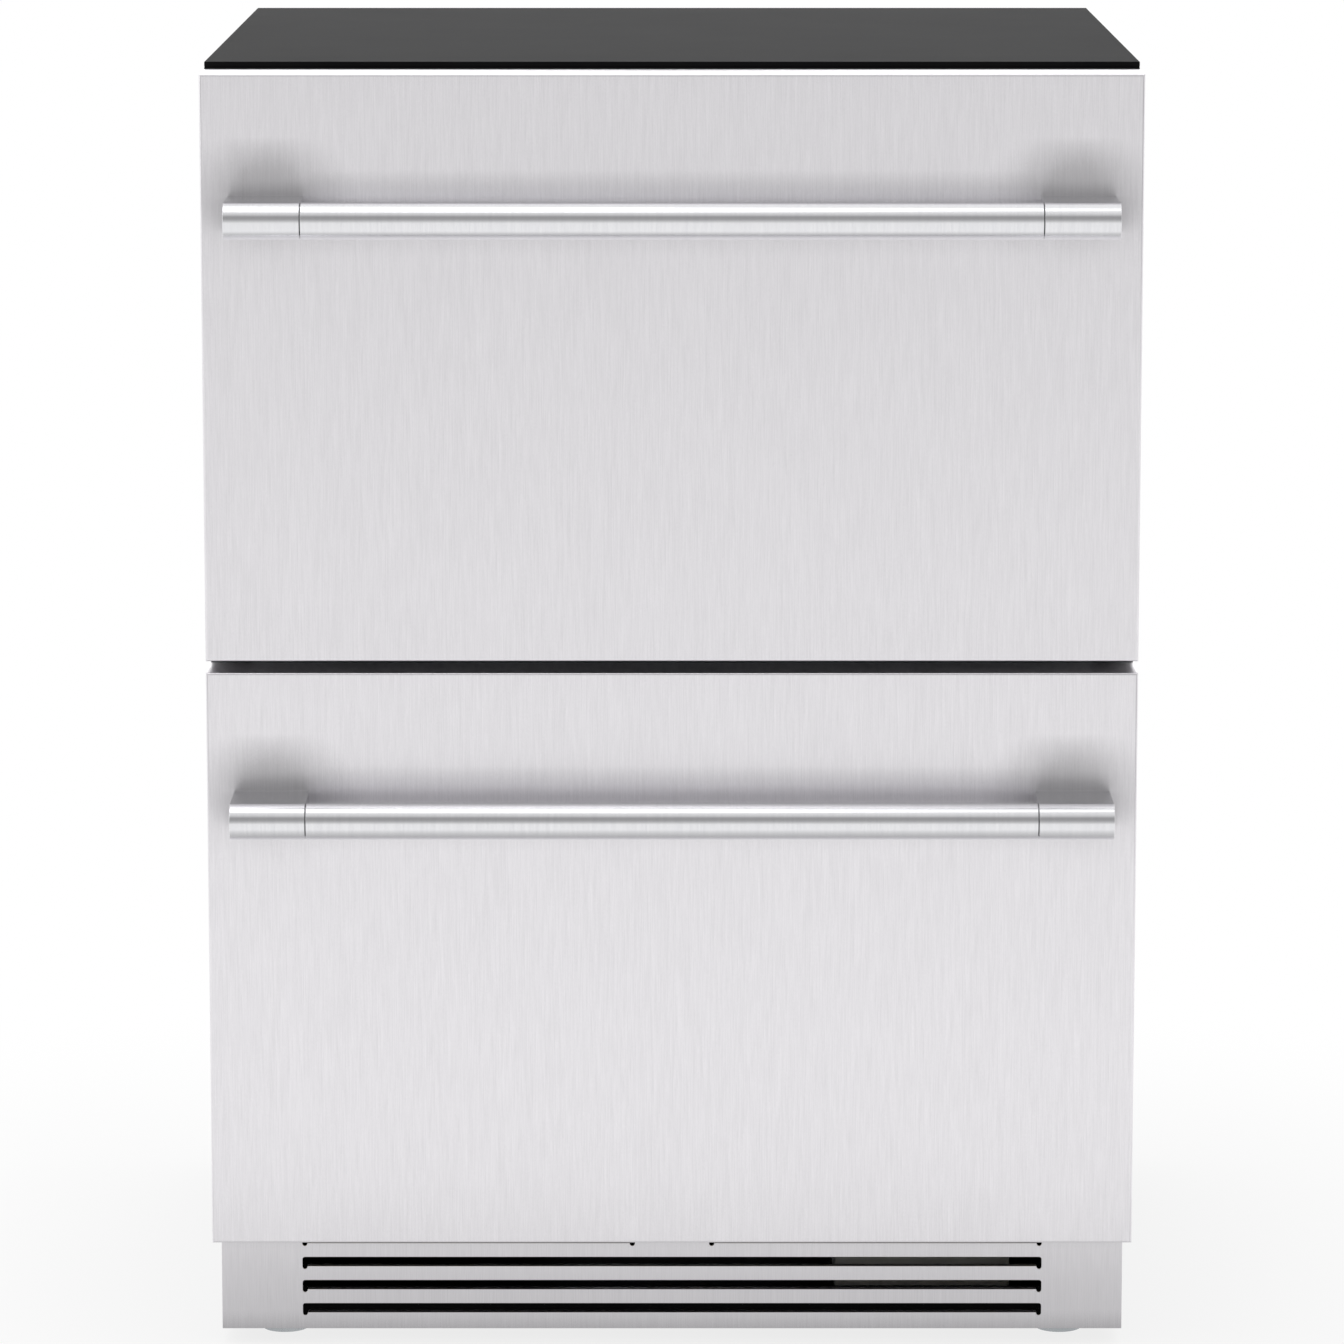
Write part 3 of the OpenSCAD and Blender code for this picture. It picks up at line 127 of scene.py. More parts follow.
def makeWorld():
    # a white studio, with a dim room behind the camera that gives polished metal its dark line
    world = bpy.data.worlds.new("studio")
    world.use_nodes = True
    bpy.context.scene.world = world
    tree = world.node_tree
    tree.nodes.clear()
    place = addNode(tree, "TexCoord")
    parts = addNode(tree, "SeparateXYZ", links={"Vector": place.outputs["Generated"]})
    height = addNode(tree, "MapRange", {"From Min": -1, "From Max": 1},
                     {"Value": parts.outputs["Z"]})
    ramp = addNode(tree, "ValToRGB", links={"Fac": height.outputs["Result"]})
    stops = ramp.color_ramp.elements
    stops.remove(stops[1])
    for number, (elevation, level) in enumerate(studio["frontStrip"]):
        share = (math.sin(math.radians(elevation)) + 1) / 2
        stop = stops.new(share) if number else stops[0]
        stop.position = share
        stop.color = (level, level, level, 1)
    front = addNode(tree, "MapRange", {"From Min": 0.05, "From Max": -0.45},
                    {"Value": parts.outputs["Y"]}, interpolation_type="SMOOTHSTEP")
    shade = addNode(tree, "Mix", {6: (1, 1, 1, 1)},
                    {0: front.outputs["Result"], 7: ramp.outputs["Color"]}, data_type="RGBA")
    sky = addNode(tree, "Background", {"Strength": 1}, {"Color": shade.outputs[2]})
    white = addNode(tree, "Background", {"Color": (1, 1, 1, 1), "Strength": 1})
    path = addNode(tree, "LightPath")
    seen = addNode(tree, "MixShader", links={0: path.outputs["Is Camera Ray"],
                                             1: sky.outputs[0], 2: white.outputs[0]})
    addNode(tree, "OutputWorld", links={"Surface": seen.outputs[0]})


def makeFloor():
    # pale floor, white to the camera and to metal, that keeps the object's shadow near it; in
    # metal that shadow is painted
    material = bpy.data.materials.new("paleFloor")
    material.use_nodes = True
    tree = material.node_tree
    tree.nodes.clear()
    place = addNode(tree, "TexCoord")
    parts = addNode(tree, "SeparateXYZ", links={"Vector": place.outputs["Object"]})
    beyond = []
    for axis, half in (("X", cadBox[1].x), ("Y", cadBox[1].y)):
        size = addNode(tree, "Math", links={0: parts.outputs[axis]}, operation="ABSOLUTE")
        past = addNode(tree, "Math", {1: half}, {0: size.outputs[0]}, operation="SUBTRACT")
        beyond.append(addNode(tree, "Math", {1: 0}, {0: past.outputs[0]}, operation="MAXIMUM"))
    corner = addNode(tree, "CombineXYZ", links={0: beyond[0].outputs[0],
                                                1: beyond[1].outputs[0]})
    distance = addNode(tree, "VectorMath", links={0: corner.outputs[0]}, operation="LENGTH")
    whiteness = addNode(tree, "MapRange",
                        {"From Min": 0, "From Max": studio["shadowReach"],
                         "To Min": studio["shadowShare"], "To Max": 1},
                        {"Value": distance.outputs["Value"]}, interpolation_type="SMOOTHSTEP")
    path = addNode(tree, "LightPath")
    inMetal = addNode(tree, "Math", links={0: path.outputs["Is Glossy Ray"],
                                           1: path.outputs["Is Transmission Ray"]},
                      operation="MAXIMUM")
    seen = addNode(tree, "Math", links={0: path.outputs["Is Camera Ray"],
                                        1: inMetal.outputs[0]}, operation="MAXIMUM")
    plain = addNode(tree, "Math", links={0: whiteness.outputs["Result"], 1: inMetal.outputs[0]},
                    operation="MAXIMUM")
    share = addNode(tree, "Math", links={0: seen.outputs[0], 1: plain.outputs[0]},
                    operation="MULTIPLY")
    beside, away = studio["paintedFloorShadowInMetal"]
    # painted shadow: the floor as seen in metal glows dimmer beside the object
    paintedShadowInMetal = addNode(tree, "MapRange",
                       {"From Min": 0, "From Max": studio["paintedFloorShadowInMetalReach"],
                        "To Min": beside, "To Max": away}, {"Value": distance.outputs["Value"]})
    level = addNode(tree, "MapRange", {"To Min": 1},
                    {"Value": inMetal.outputs[0], "To Max": paintedShadowInMetal.outputs["Result"]})
    matt = addNode(tree, "BsdfDiffuse", {"Color": linear(studio["floorColour"])})
    white = addNode(tree, "Emission", {"Color": (1, 1, 1, 1)},
                    {"Strength": level.outputs["Result"]})
    mixed = addNode(tree, "MixShader", links={0: share.outputs[0], 1: matt.outputs[0],
                                              2: white.outputs[0]})
    addNode(tree, "OutputMaterial", links={"Surface": mixed.outputs[0]})
    bm = bmesh.new()
    bmesh.ops.create_circle(bm, cap_ends=True, segments=96, radius=studio["floorRadius"])
    mesh = bpy.data.meshes.new("floor")
    bm.to_mesh(mesh)
    bm.free()
    mesh.materials.append(material)
    floor = bpy.data.objects.new("floor", mesh)
    bpy.context.scene.collection.objects.link(floor)


lamps = {
    "softboxOverhead": {"place": (-0.5, -0.6, 2.9), "size": (2.0, 1.2), "watts": 7},
    "softboxLeft": {"place": (-2.6, -1.2, 1.5), "size": (1.4, 1.6), "watts": 9},
    "softboxBehind": {"place": (0.0, 3.0, 1.7), "size": (2.2, 1.4), "watts": 12},
}


def makeLamps():
    aim = Vector((0, 0, 0.45))
    for name, lamp in lamps.items():
        data = bpy.data.lights.new(name, "AREA")
        data.shape = "RECTANGLE"
        data.size, data.size_y = lamp["size"]
        data.energy = lamp["watts"]
        light = bpy.data.objects.new(name, data)
        bpy.context.scene.collection.objects.link(light)
        light.location = lamp["place"]
        light.rotation_euler = (aim - light.location).to_track_quat("-Z", "Y").to_euler()


makeCamera()
makeWorld()
makeFloor()
makeLamps()
bpy.context.scene.view_settings.view_transform = "Standard"
print("studio made")


# ---- finishes ----

def newMaterial(name):
    material = bpy.data.materials.new(name)
    material.use_nodes = True
    tree = material.node_tree
    tree.nodes.clear()
    shader = addNode(tree, "BsdfPrincipled")
    addNode(tree, "OutputMaterial", links={"Surface": shader.outputs[0]})
    return material, tree, shader


def patternPlace(tree, size):
    # coordinates in which a pattern repeats about every size millimetres along X, Y and Z
    place = addNode(tree, "TexCoord")
    scale = [1 / (length * mm) for length in size]
    scaled = addNode(tree, "Mapping", {"Scale": scale}, {"Vector": place.outputs["Object"]})
    return scaled.outputs["Vector"]


def twoTone(tree, shader, factor, look):
    # the base colour wanders between two near tones
    tone = addNode(tree, "Mix", {6: linear(look["colour"]), 7: linear(look["secondColour"])},
                   {0: factor}, data_type="RGBA")
    tree.links.new(tone.outputs[2], shader.inputs["Base Color"])


def paintShadeNearParts(tree, shader, reach, least, lean):
    # painted shade: the base colour of steel that faces forwards is darkened where another part
    # stands close in front of it, and with a lean mostly above that part
    tone = shader.inputs["Base Color"].links[0].from_socket
    surface = addNode(tree, "NewGeometry")
    leaning = addNode(tree, "VectorMath", {1: (0, 0, -lean)},
                      {0: surface.outputs["True Normal"]}, operation="ADD")
    test = addNode(tree, "VectorMath", links={0: leaning.outputs[0]}, operation="NORMALIZE")
    unshaded = addNode(tree, "AmbientOcclusion", {"Distance": reach * mm},
                       {"Normal": test.outputs[0]}, samples=4)
    fullyOpen = (1 + 1 / math.hypot(1, lean)) / 2
    share = addNode(tree, "Math", {1: 1 / fullyOpen}, {0: unshaded.outputs["AO"]},
                    operation="MULTIPLY")
    normal = addNode(tree, "SeparateXYZ", links={"Vector": surface.outputs["True Normal"]})
    aside = addNode(tree, "MapRange", {"From Min": -0.7, "From Max": -0.3},
                    {"Value": normal.outputs["Y"]})
    bright = addNode(tree, "Math", links={0: share.outputs[0], 1: aside.outputs["Result"]},
                     operation="MAXIMUM")
    kept = addNode(tree, "Math", {1: least}, {0: bright.outputs[0]}, operation="MAXIMUM")
    paintedShadeTone = addNode(tree, "VectorMath", links={0: tone, "Scale": kept.outputs[0]},
                    operation="SCALE")
    tree.links.new(paintedShadeTone.outputs[0], shader.inputs["Base Color"])


def wanderingRoughness(tree, shader, factor, look):
    low, high = look["roughness"]
    value = addNode(tree, "MapRange", {"To Min": low, "To Max": high}, {"Value": factor})
    tree.links.new(value.outputs["Result"], shader.inputs["Roughness"])


def relief(tree, shader, height, depth):
    # bump of a real depth in millimetres
    bump = addNode(tree, "Bump", {"Strength": 1, "Distance": depth * mm}, {"Height": height})
    tree.links.new(bump.outputs["Normal"], shader.inputs["Normal"])


def brushedSteel(name, look):
    # belt-ground sheet: fine scratches one way, which smear reflections across them
    material, tree, shader = newMaterial(name)
    shader.inputs["Metallic"].default_value = 1
    shader.inputs["Anisotropic"].default_value = look["anisotropy"]
    shader.inputs["Anisotropic Rotation"].default_value = look["turn"]
    fine = addNode(tree, "TexNoise", {"Scale": 1, "Detail": 3, "Roughness": 0.6},
                   {"Vector": patternPlace(tree, look["scratch"])})
    wide = addNode(tree, "TexNoise", {"Scale": 1, "Detail": 2, "Roughness": 0.5},
                   {"Vector": patternPlace(tree, look["band"])})
    both = addNode(tree, "Mix", {0: look["bandShare"]}, {2: fine.outputs[0], 3: wide.outputs[0]},
                   data_type="FLOAT")
    spread = addNode(tree, "MapRange", {"From Min": 0.3, "From Max": 0.7},
                     {"Value": both.outputs[0]})
    twoTone(tree, shader, spread.outputs["Result"], look)
    # painted shade: darkens the base colour where other parts stand close in front
    paintShadeNearParts(tree, shader, *look["paintedShade"])
    wanderingRoughness(tree, shader, spread.outputs["Result"], look)
    relief(tree, shader, fine.outputs[0], look["depth"])
    tangent = addNode(tree, "Tangent", direction_type="RADIAL", axis=look["tangentAxis"])
    tree.links.new(tangent.outputs[0], shader.inputs["Tangent"])
    return material


def plainFinish(name, look):
    # paint, plastic, rubber or plated metal: slow patches of tone over a fine surface grain
    material, tree, shader = newMaterial(name)
    patches = addNode(tree, "TexNoise", {"Scale": 1, "Detail": 4, "Roughness": 0.55},
                      {"Vector": patternPlace(tree, look["patch"])})
    grain = addNode(tree, "TexNoise", {"Scale": 1, "Detail": 3, "Roughness": 0.6},
                    {"Vector": patternPlace(tree, look["grain"])})
    spread = addNode(tree, "MapRange", {"From Min": 0.3, "From Max": 0.7},
                     {"Value": patches.outputs[0]})
    twoTone(tree, shader, spread.outputs["Result"], look)
    both = addNode(tree, "Mix", {0: 0.5}, {2: patches.outputs[0], 3: grain.outputs[0]},
                   data_type="FLOAT")
    wanderingRoughness(tree, shader, both.outputs[0], look)
    relief(tree, shader, grain.outputs[0], look["depth"])
    for socket in ("Metallic", "IOR", "Coat Weight", "Coat Roughness", "Specular IOR Level",
                   "Sheen Weight", "Subsurface Weight"):
        if socket in look:
            shader.inputs[socket].default_value = look[socket]
    return material


def galvanisedSheet(name, look):
    # hot-dip zinc: flat crystals some millimetres across, each of its own tone and gloss
    material, tree, shader = newMaterial(name)
    shader.inputs["Metallic"].default_value = 1
    crystals = addNode(tree, "TexVoronoi", {"Scale": 1, "Randomness": 1},
                       {"Vector": patternPlace(tree, look["crystal"])})
    frost = addNode(tree, "TexNoise", {"Scale": 1, "Detail": 4},
                    {"Vector": patternPlace(tree, look["frost"])})
    tone = addNode(tree, "RGBToBW", links={0: crystals.outputs["Color"]})
    both = addNode(tree, "Mix", {0: 0.4}, {2: tone.outputs[0], 3: frost.outputs[0]},
                   data_type="FLOAT")
    twoTone(tree, shader, both.outputs[0], look)
    wanderingRoughness(tree, shader, both.outputs[0], look)
    relief(tree, shader, both.outputs[0], look["depth"])
    return material


def foamFinish(name, look):
    # rigid polyurethane foam: open cut cells and a rough, soft colour
    material, tree, shader = newMaterial(name)
    cells = addNode(tree, "TexVoronoi", {"Scale": 1}, {"Vector": patternPlace(tree, look["cell"])})
    twoTone(tree, shader, cells.outputs["Distance"], look)
    wanderingRoughness(tree, shader, cells.outputs["Distance"], look)
    relief(tree, shader, cells.outputs["Distance"], look["depth"])
    return material


def diffuserFinish(name, look):
    # opal acrylic over a row of diodes: a soft even glow with faint brighter spots
    material, tree, shader = newMaterial(name)
    place = addNode(tree, "TexCoord")
    along = addNode(tree, "SeparateXYZ", links={"Vector": place.outputs["Object"]})
    wave = addNode(tree, "Math", {1: 2 * math.pi / (look["diodePitch"] * mm)},
                   {0: along.outputs["X"]}, operation="MULTIPLY")
    spots = addNode(tree, "Math", links={0: wave.outputs[0]}, operation="COSINE")
    glow = addNode(tree, "MapRange", {"From Min": -1, "From Max": 1, "To Min": look["glow"][0],
                                      "To Max": look["glow"][1]}, {"Value": spots.outputs[0]})
    tree.links.new(glow.outputs["Result"], shader.inputs["Emission Strength"])
    shader.inputs["Base Color"].default_value = linear(look["colour"])
    shader.inputs["Emission Color"].default_value = linear(look["glowColour"])
    shader.inputs["Roughness"].default_value = look["roughness"]
    return material


# Scratches of a number 4 finish are about 0.1 mm wide, too fine to show, so they are drawn
# 0.6 mm wide and faint. They run up and down the fronts and the toe-kick.
frontSteel = {
    "colour": "#F3F1F4", "secondColour": "#E7E5E8", "roughness": (0.32, 0.37),
    "scratch": (0.6, 0.6, 24), "band": (2.4, 2.4, 60), "bandShare": 0.2, "depth": 0.003,
    "anisotropy": 0.5, "turn": 0.0, "tangentAxis": "Z",
    "paintedShade": (38, 0.62, 0.75),   # painted shade: reach in mm, the share of the tone that always stays, lean
}
# the toe-kick is the same sheet, with nothing that stands out in front of it, so its painted shade
# has no lean
kickSteel = {**frontSteel, "paintedShade": (24, 0.6, 0)}
# The bars are polished on a lathe, so their scratches run round them and the light stays
# sharp from top to bottom.
barSteel = {
    "colour": "#EAEAEC", "secondColour": "#E2E2E5", "roughness": (0.17, 0.23),
    "scratch": (0.7, 16, 16), "band": (4, 30, 30), "bandShare": 0.3, "depth": 0.002,
    # painted shade within 3 mm of another part, where the bar meets its brackets
    "anisotropy": 0.7, "turn": 0.25, "tangentAxis": "X", "paintedShade": (3, 0.2, 0),
}
# the brackets are polished as the bars are, and painted shade darkens them towards the door
bracketSteel = {**barSteel, "paintedShade": (40, 0.15, 0)}
# black polyester powder coat, baked: low gloss with a fine orange peel
cabinetPaint = {
    "colour": "#161617", "secondColour": "#1A1A1B", "roughness": (0.6, 0.7),
    "patch": (60, 60, 60), "grain": (1.1, 1.1, 1.1), "depth": 0.012, "IOR": 1.5,
    "Specular IOR Level": 0.034,
}
# a lit copy of the same coat for the side panels: its colour painted lighter than on the top, with
# more sheen
litSidePaint = {
    **cabinetPaint, "colour": "#1F1F20", "secondColour": "#242425", "roughness": (0.5, 0.6),
    "Specular IOR Level": 0.25,
}
sheetZinc = {
    "colour": "#AEB3B8", "secondColour": "#C9CDD0", "roughness": (0.32, 0.5),
    "crystal": (9, 9, 9), "frost": (1.5, 1.5, 1.5), "depth": 0.01,
}
# bright zinc plating on rolled steel: bluish, fairly sharp, with a faint haze
brightZinc = {
    "colour": "#C3C8CC", "secondColour": "#D3D7DA", "roughness": (0.2, 0.34),
    "patch": (18, 30, 18), "grain": (0.8, 6, 0.8), "depth": 0.003, "Metallic": 1,
}
# grey polystyrene liner, vacuum formed: soft sheen, faint pull marks
linerPlastic = {
    "colour": "#6C6F72", "secondColour": "#64676A", "roughness": (0.34, 0.46),
    "patch": (90, 90, 90), "grain": (2.4, 2.4, 2.4), "depth": 0.012, "IOR": 1.55,
}
# injection-moulded ABS with a spark-eroded texture
panelPlastic = {
    "colour": "#8B8E91", "secondColour": "#84878A", "roughness": (0.42, 0.52),
    "patch": (70, 70, 70), "grain": (0.9, 0.9, 0.9), "depth": 0.015, "IOR": 1.54,
}
# glossy grey-white styrene-acrylonitrile of the bins: clear gloss over a milky body
binPlastic = {
    "colour": "#DCE1E4", "secondColour": "#D3D9DD", "roughness": (0.14, 0.22),
    "patch": (80, 80, 80), "grain": (3.5, 3.5, 3.5), "depth": 0.008, "IOR": 1.57,
    "Coat Weight": 0.25, "Coat Roughness": 0.08,
}
blackPlastic = {
    "colour": "#191A1B", "secondColour": "#202122", "roughness": (0.4, 0.55),
    "patch": (40, 40, 40), "grain": (0.8, 0.8, 0.8), "depth": 0.015, "IOR": 1.53,
}
whitePlastic = {
    "colour": "#E9E8E4", "secondColour": "#E2E1DC", "roughness": (0.35, 0.48),
    "patch": (40, 40, 40), "grain": (0.8, 0.8, 0.8), "depth": 0.012, "IOR": 1.53,
}
# tempered glass over black printing: near-mirror gloss
touchGlass = {
    "colour": "#060607", "secondColour": "#0A0A0C", "roughness": (0.05, 0.09),
    "patch": (30, 30, 30), "grain": (5, 5, 5), "depth": 0.001, "IOR": 1.52,
}
# extruded nitrile and magnet strip: dull, a little chalky along the folds
gasketRubber = {
    "colour": "#77787A", "secondColour": "#7E7F81", "roughness": (0.6, 0.78),
    "patch": (25, 25, 25), "grain": (0.7, 0.7, 4), "depth": 0.02, "IOR": 1.52,
    "Sheen Weight": 0.15,
}
foam = {
    "colour": "#E6D9A8", "secondColour": "#CDB977", "roughness": (0.8, 0.95),
    "cell": (1.6, 1.6, 1.6), "depth": 0.25,
}
# stoved black enamel on the compressor's drawn shell
compressorEnamel = {
    "colour": "#141415", "secondColour": "#1B1B1D", "roughness": (0.22, 0.36),
    "patch": (30, 30, 30), "grain": (1.6, 1.6, 1.6), "depth": 0.03, "IOR": 1.5,
    "Coat Weight": 0.3, "Coat Roughness": 0.15,
}
# drawn copper tube: warm and bright where it was handled, duller where it was brazed
drawnCopper = {
    "colour": "#C98A63", "secondColour": "#A9694A", "roughness": (0.24, 0.42),
    "patch": (22, 22, 22), "grain": (1, 1, 1), "depth": 0.004, "Metallic": 1,
}
finAluminium = {
    "colour": "#D6D8DA", "secondColour": "#C6C9CC", "roughness": (0.28, 0.4),
    "patch": (30, 30, 30), "grain": (0.8, 5, 5), "depth": 0.004, "Metallic": 1,
}
# condenser dipped in thin black paint: dull, with dust in its finish
condenserPaint = {
    "colour": "#1D1D1E", "secondColour": "#2A2A2A", "roughness": (0.5, 0.7),
    "patch": (16, 16, 16), "grain": (1, 1, 1), "depth": 0.02, "IOR": 1.5,
}
opalAcrylic = {
    "colour": "#F2F4F5", "glowColour": "#F3F7FF", "glow": (3.2, 4.4), "diodePitch": 16,
    "roughness": 0.45,
}

finishes = {
    "stainless": brushedSteel("brushedStainlessSheet", frontSteel),
    "handle_steel": brushedSteel("polishedStainlessBar", barSteel),
    "dark_paint": plainFinish("blackPowderCoat", cabinetPaint),
    "galvanised": galvanisedSheet("galvanisedSheetSteel", sheetZinc),
    "bright_zinc": plainFinish("brightZincOnSteel", brightZinc),
    "liner_plastic": plainFinish("vacuumFormedPolystyrene", linerPlastic),
    "panel_plastic": plainFinish("mouldedGreyAbs", panelPlastic),
    "bin_plastic": plainFinish("mouldedMilkySan", binPlastic),
    "black_plastic": plainFinish("mouldedBlackAbs", blackPlastic),
    "white_plastic": plainFinish("mouldedWhiteAbs", whitePlastic),
    "touch_glass": plainFinish("printedTemperedGlass", touchGlass),
    "gasket_rubber": plainFinish("extrudedNitrileRubber", gasketRubber),
    "foam": foamFinish("rigidPolyurethaneFoam", foam),
    "compressor_paint": plainFinish("stovedBlackEnamel", compressorEnamel),
    "copper": plainFinish("drawnCopperTube", drawnCopper),
    "coil_aluminium": plainFinish("rolledFinAluminium", finAluminium),
    "coil_black": plainFinish("dippedCondenserPaint", condenserPaint),
    "zinc_steel": plainFinish("zincPlatedFasteners", brightZinc),
}
lampFinish = diffuserFinish("opalAcrylicDiffuser", opalAcrylic)
bracketFinish = brushedSteel("polishedStainlessBracket", bracketSteel)
kickFinish = brushedSteel("brushedStainlessKick", kickSteel)
litSideFinish = plainFinish("blackPowderCoatLitSides", litSidePaint)
print("finishes made:", len(finishes) + 4)


# ---- making pieces ----

def makePiece(name, bm, slot, body, replaced=(), creaseDegrees=50, material=None):
    # a mesh that rides on a body, takes a slot's finish and may stand for CAD nodes
    mesh = bpy.data.meshes.new(name)
    bm.to_mesh(mesh)
    bm.free()
    mesh.materials.append(material or finishes[slot])
    for face in mesh.polygons:
        face.use_smooth = True
    mesh.set_sharp_from_angle(angle=math.radians(creaseDegrees))
    piece = bpy.data.objects.new(name, mesh)
    bpy.context.scene.collection.objects.link(piece)
    weighted = piece.modifiers.new("flatFacesStayFlat", "WEIGHTED_NORMAL")
    weighted.keep_sharp = True
    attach(piece, body)
    if replaced:
        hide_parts(*replaced)
    return piece


def nodeShape(node):
    # the node's own surface as one closed mesh with whole flat faces
    bm = bmesh.new()
    bm.from_mesh(nodes[node].data)
    bmesh.ops.remove_doubles(bm, verts=bm.verts, dist=0.001 * mm)
    bmesh.ops.dissolve_limit(bm, angle_limit=math.radians(0.5), verts=bm.verts, edges=bm.edges)
    return bm


def soften(bm, radius, steps=2, where=None, sharpDegrees=40):
    # rounds the sharp edges whose middle passes the test, by a radius in millimetres
    chosen = []
    for edge in bm.edges:
        if edge.is_manifold and edge.calc_face_angle(0) > math.radians(sharpDegrees):
            middle = (edge.verts[0].co + edge.verts[1].co) / 2
            if where is None or where(middle):
                chosen.append(edge)
    bmesh.ops.bevel(bm, geom=chosen, offset=radius * mm, offset_type="OFFSET", segments=steps,
                    profile=0.5, affect="EDGES", clamp_overlap=False)


def softened(node, radius, steps=2, material=None):
    # a node's shape with all of its sharp edges rounded
    bm = nodeShape(node)
    soften(bm, radius, steps)
    return makePiece(pieceName(node), bm, slotOf[node], bodyOf[node], (node,),
                     material=material)


def pieceName(node):
    first, *rest = node.split("_")
    return first + "".join(word.capitalize() for word in rest)


def addPrism(bm, outline, start, along):
    # a straight solid: a closed outline of points at start, run by the vector along
    low = [bm.verts.new(start + point) for point in outline]
    high = [bm.verts.new(start + point + along) for point in outline]
    count = len(outline)
    for i in range(count):
        bm.faces.new((low[i], low[(i + 1) % count], high[(i + 1) % count], high[i]))
    bm.faces.new(low[::-1])
    bm.faces.new(high)


def addRings(bm, profile, steps, centre, turn):
    # a turned surface from pairs of radius and height, closed below
    rings = []
    for radius, height in profile:
        ring = []
        for k in range(steps):
            angle = 2 * math.pi * k / steps
            point = Vector((radius * math.cos(angle), radius * math.sin(angle), height))
            ring.append(bm.verts.new(centre + turn @ point))
        rings.append(ring)
    joinRings(bm, rings)
    return rings


def joinRings(bm, rings):
    # the walls between rings of as many points each, and the face under the first
    steps = len(rings[0])
    for lower, upper in zip(rings, rings[1:]):
        for k in range(steps):
            bm.faces.new((lower[k], lower[(k + 1) % steps], upper[(k + 1) % steps], upper[k]))
    bm.faces.new(rings[0][::-1])


def addLathe(bm, profile, steps, centre, turn):
    # a turned solid with flat ends
    bm.faces.new(addRings(bm, profile, steps, centre, turn)[-1])


def facing(direction):
    # turns +Z to a direction
    return Vector(direction).to_track_quat("Z", "Y").to_matrix()


screw = {
    "steps": 20,
    # shares of the head's radius and height, from its rim to its flat top
    "profile": [(1, 0), (1, 0.35), (0.94, 0.66), (0.8, 0.88), (0.62, 1)],
    "crossReach": 0.5, "crossWidth": 0.15, "crossDepth": 0.6, "crossTaper": 0.8,
}


def addScrew(bm, centre, outward, headDiameter, headHeight):
    # a pan head with a cross recess, standing on a surface
    radius, height = headDiameter * mm / 2, headHeight * mm
    turn = facing(outward)
    steps = screw["steps"]
    profile = [(r * radius, h * height) for r, h in screw["profile"]]
    rings = addRings(bm, profile, steps, centre, turn)
    reach, width = screw["crossReach"] * radius, screw["crossWidth"] * radius
    cross = []
    for quarter in range(4):
        turned = Matrix.Rotation(quarter * math.pi / 2, 3, "Z")
        for x, y in ((width, width), (width, -width), (reach, -width), (reach, width)):
            if (x, y) != (width, width):
                cross.append(turned @ Vector((x, y, 0)))
    sunk = Vector((0, 0, height * (1 - screw["crossDepth"])))
    top = Vector((0, 0, height))
    upper = [bm.verts.new(centre + turn @ (p + top)) for p in cross]
    lower = [bm.verts.new(centre + turn @ (p * screw["crossTaper"] + sunk)) for p in cross]
    count = len(cross)
    for k in range(count):
        bm.faces.new((upper[k], upper[(k + 1) % count], lower[(k + 1) % count], lower[k]))
    bm.faces.new(lower)
    rim = [bm.edges.get((rings[-1][k], rings[-1][(k + 1) % steps])) for k in range(steps)]
    rim += [bm.edges.get((upper[k], upper[(k + 1) % count])) for k in range(count)]
    bmesh.ops.triangle_fill(bm, edges=rim, use_beauty=True)


def makeScrews(name, places, outward, headDiameter, headHeight, body, slot="zinc_steel"):
    bm = bmesh.new()
    for place in places:
        addScrew(bm, Vector(place), outward, headDiameter, headHeight)
    bmesh.ops.recalc_face_normals(bm, faces=bm.faces)
    return makePiece(name, bm, slot, body, creaseDegrees=40)


# ---- cabinet ----

cabinetEdges = {                   # mm, the radii of folded, sheared or moulded edges
    "side_panel_left": 0.35, "side_panel_right": 0.35, "top_panel": 0.45, "front_frame": 0.4,
    "divider_trim": 0.3, "upper_liner": 0.6, "lower_liner": 0.6, "base_pan": 0.3,
    "toe_kick_grille": 0.25, "evaporator_cover": 0.6, "lower_duct_cover": 0.8,
}
ownFinish = {                      # nodes whose finish differs from their slot's
    "side_panel_left": litSideFinish, "side_panel_right": litSideFinish,
    "divider_trim": finishes["panel_plastic"], "toe_kick_grille": kickFinish,
}


def makeCabinet():
    for node, radius in cabinetEdges.items():
        softened(node, radius, material=ownFinish.get(node))


backSheet = {
    "sunk": 0.9,                   # mm, the sheet lies this far inside the side panels' edges
    "edgeRadius": 0.3, "coverGap": 0.7,
    "beads": 3, "beadWidth": 11, "beadHeight": 0.9, "beadInset": 70,
    "beadSteps": 6, "beadEndSteps": 3,
    "screwDiameter": 8, "screwHeight": 0.9, "screwInset": 7, "screwPitch": 150,
}


def sink(bm, y):
    # moves the outer face at y inwards
    for vert in bm.verts:
        if vert.co.y > y - 0.5 * mm:
            vert.co.y -= backSheet["sunk"] * mm


def addBead(bm, x, y, z0, z1):
    # a pressed stiffening bead: a half round with round ends, standing on the sheet
    half, high = backSheet["beadWidth"] * mm / 2, backSheet["beadHeight"] * mm
    steps, endSteps = backSheet["beadSteps"], backSheet["beadEndSteps"]
    rows = []
    for i in range(steps + 1):
        across = math.pi * i / steps
        u, lift = -half * math.cos(across), high * math.sin(across)
        row = []
        for end, sign in ((z0, -1), (z1, 1)):
            for k in range(endSteps + 1):
                share = k / endSteps if sign > 0 else 1 - k / endSteps
                angle = math.pi / 2 * share
                fall = math.cos(angle)
                rise = lift * fall ** 0.5 if fall > 0.01 else 0
                row.append(bm.verts.new((x + u * (0.35 + 0.65 * fall), y + rise,
                                         end + sign * half * math.sin(angle))))
        rows.append(row)
    for a, b in zip(rows, rows[1:]):
        for k in range(len(a) - 1):
            bm.faces.new((a[k], a[k + 1], b[k + 1], b[k]))


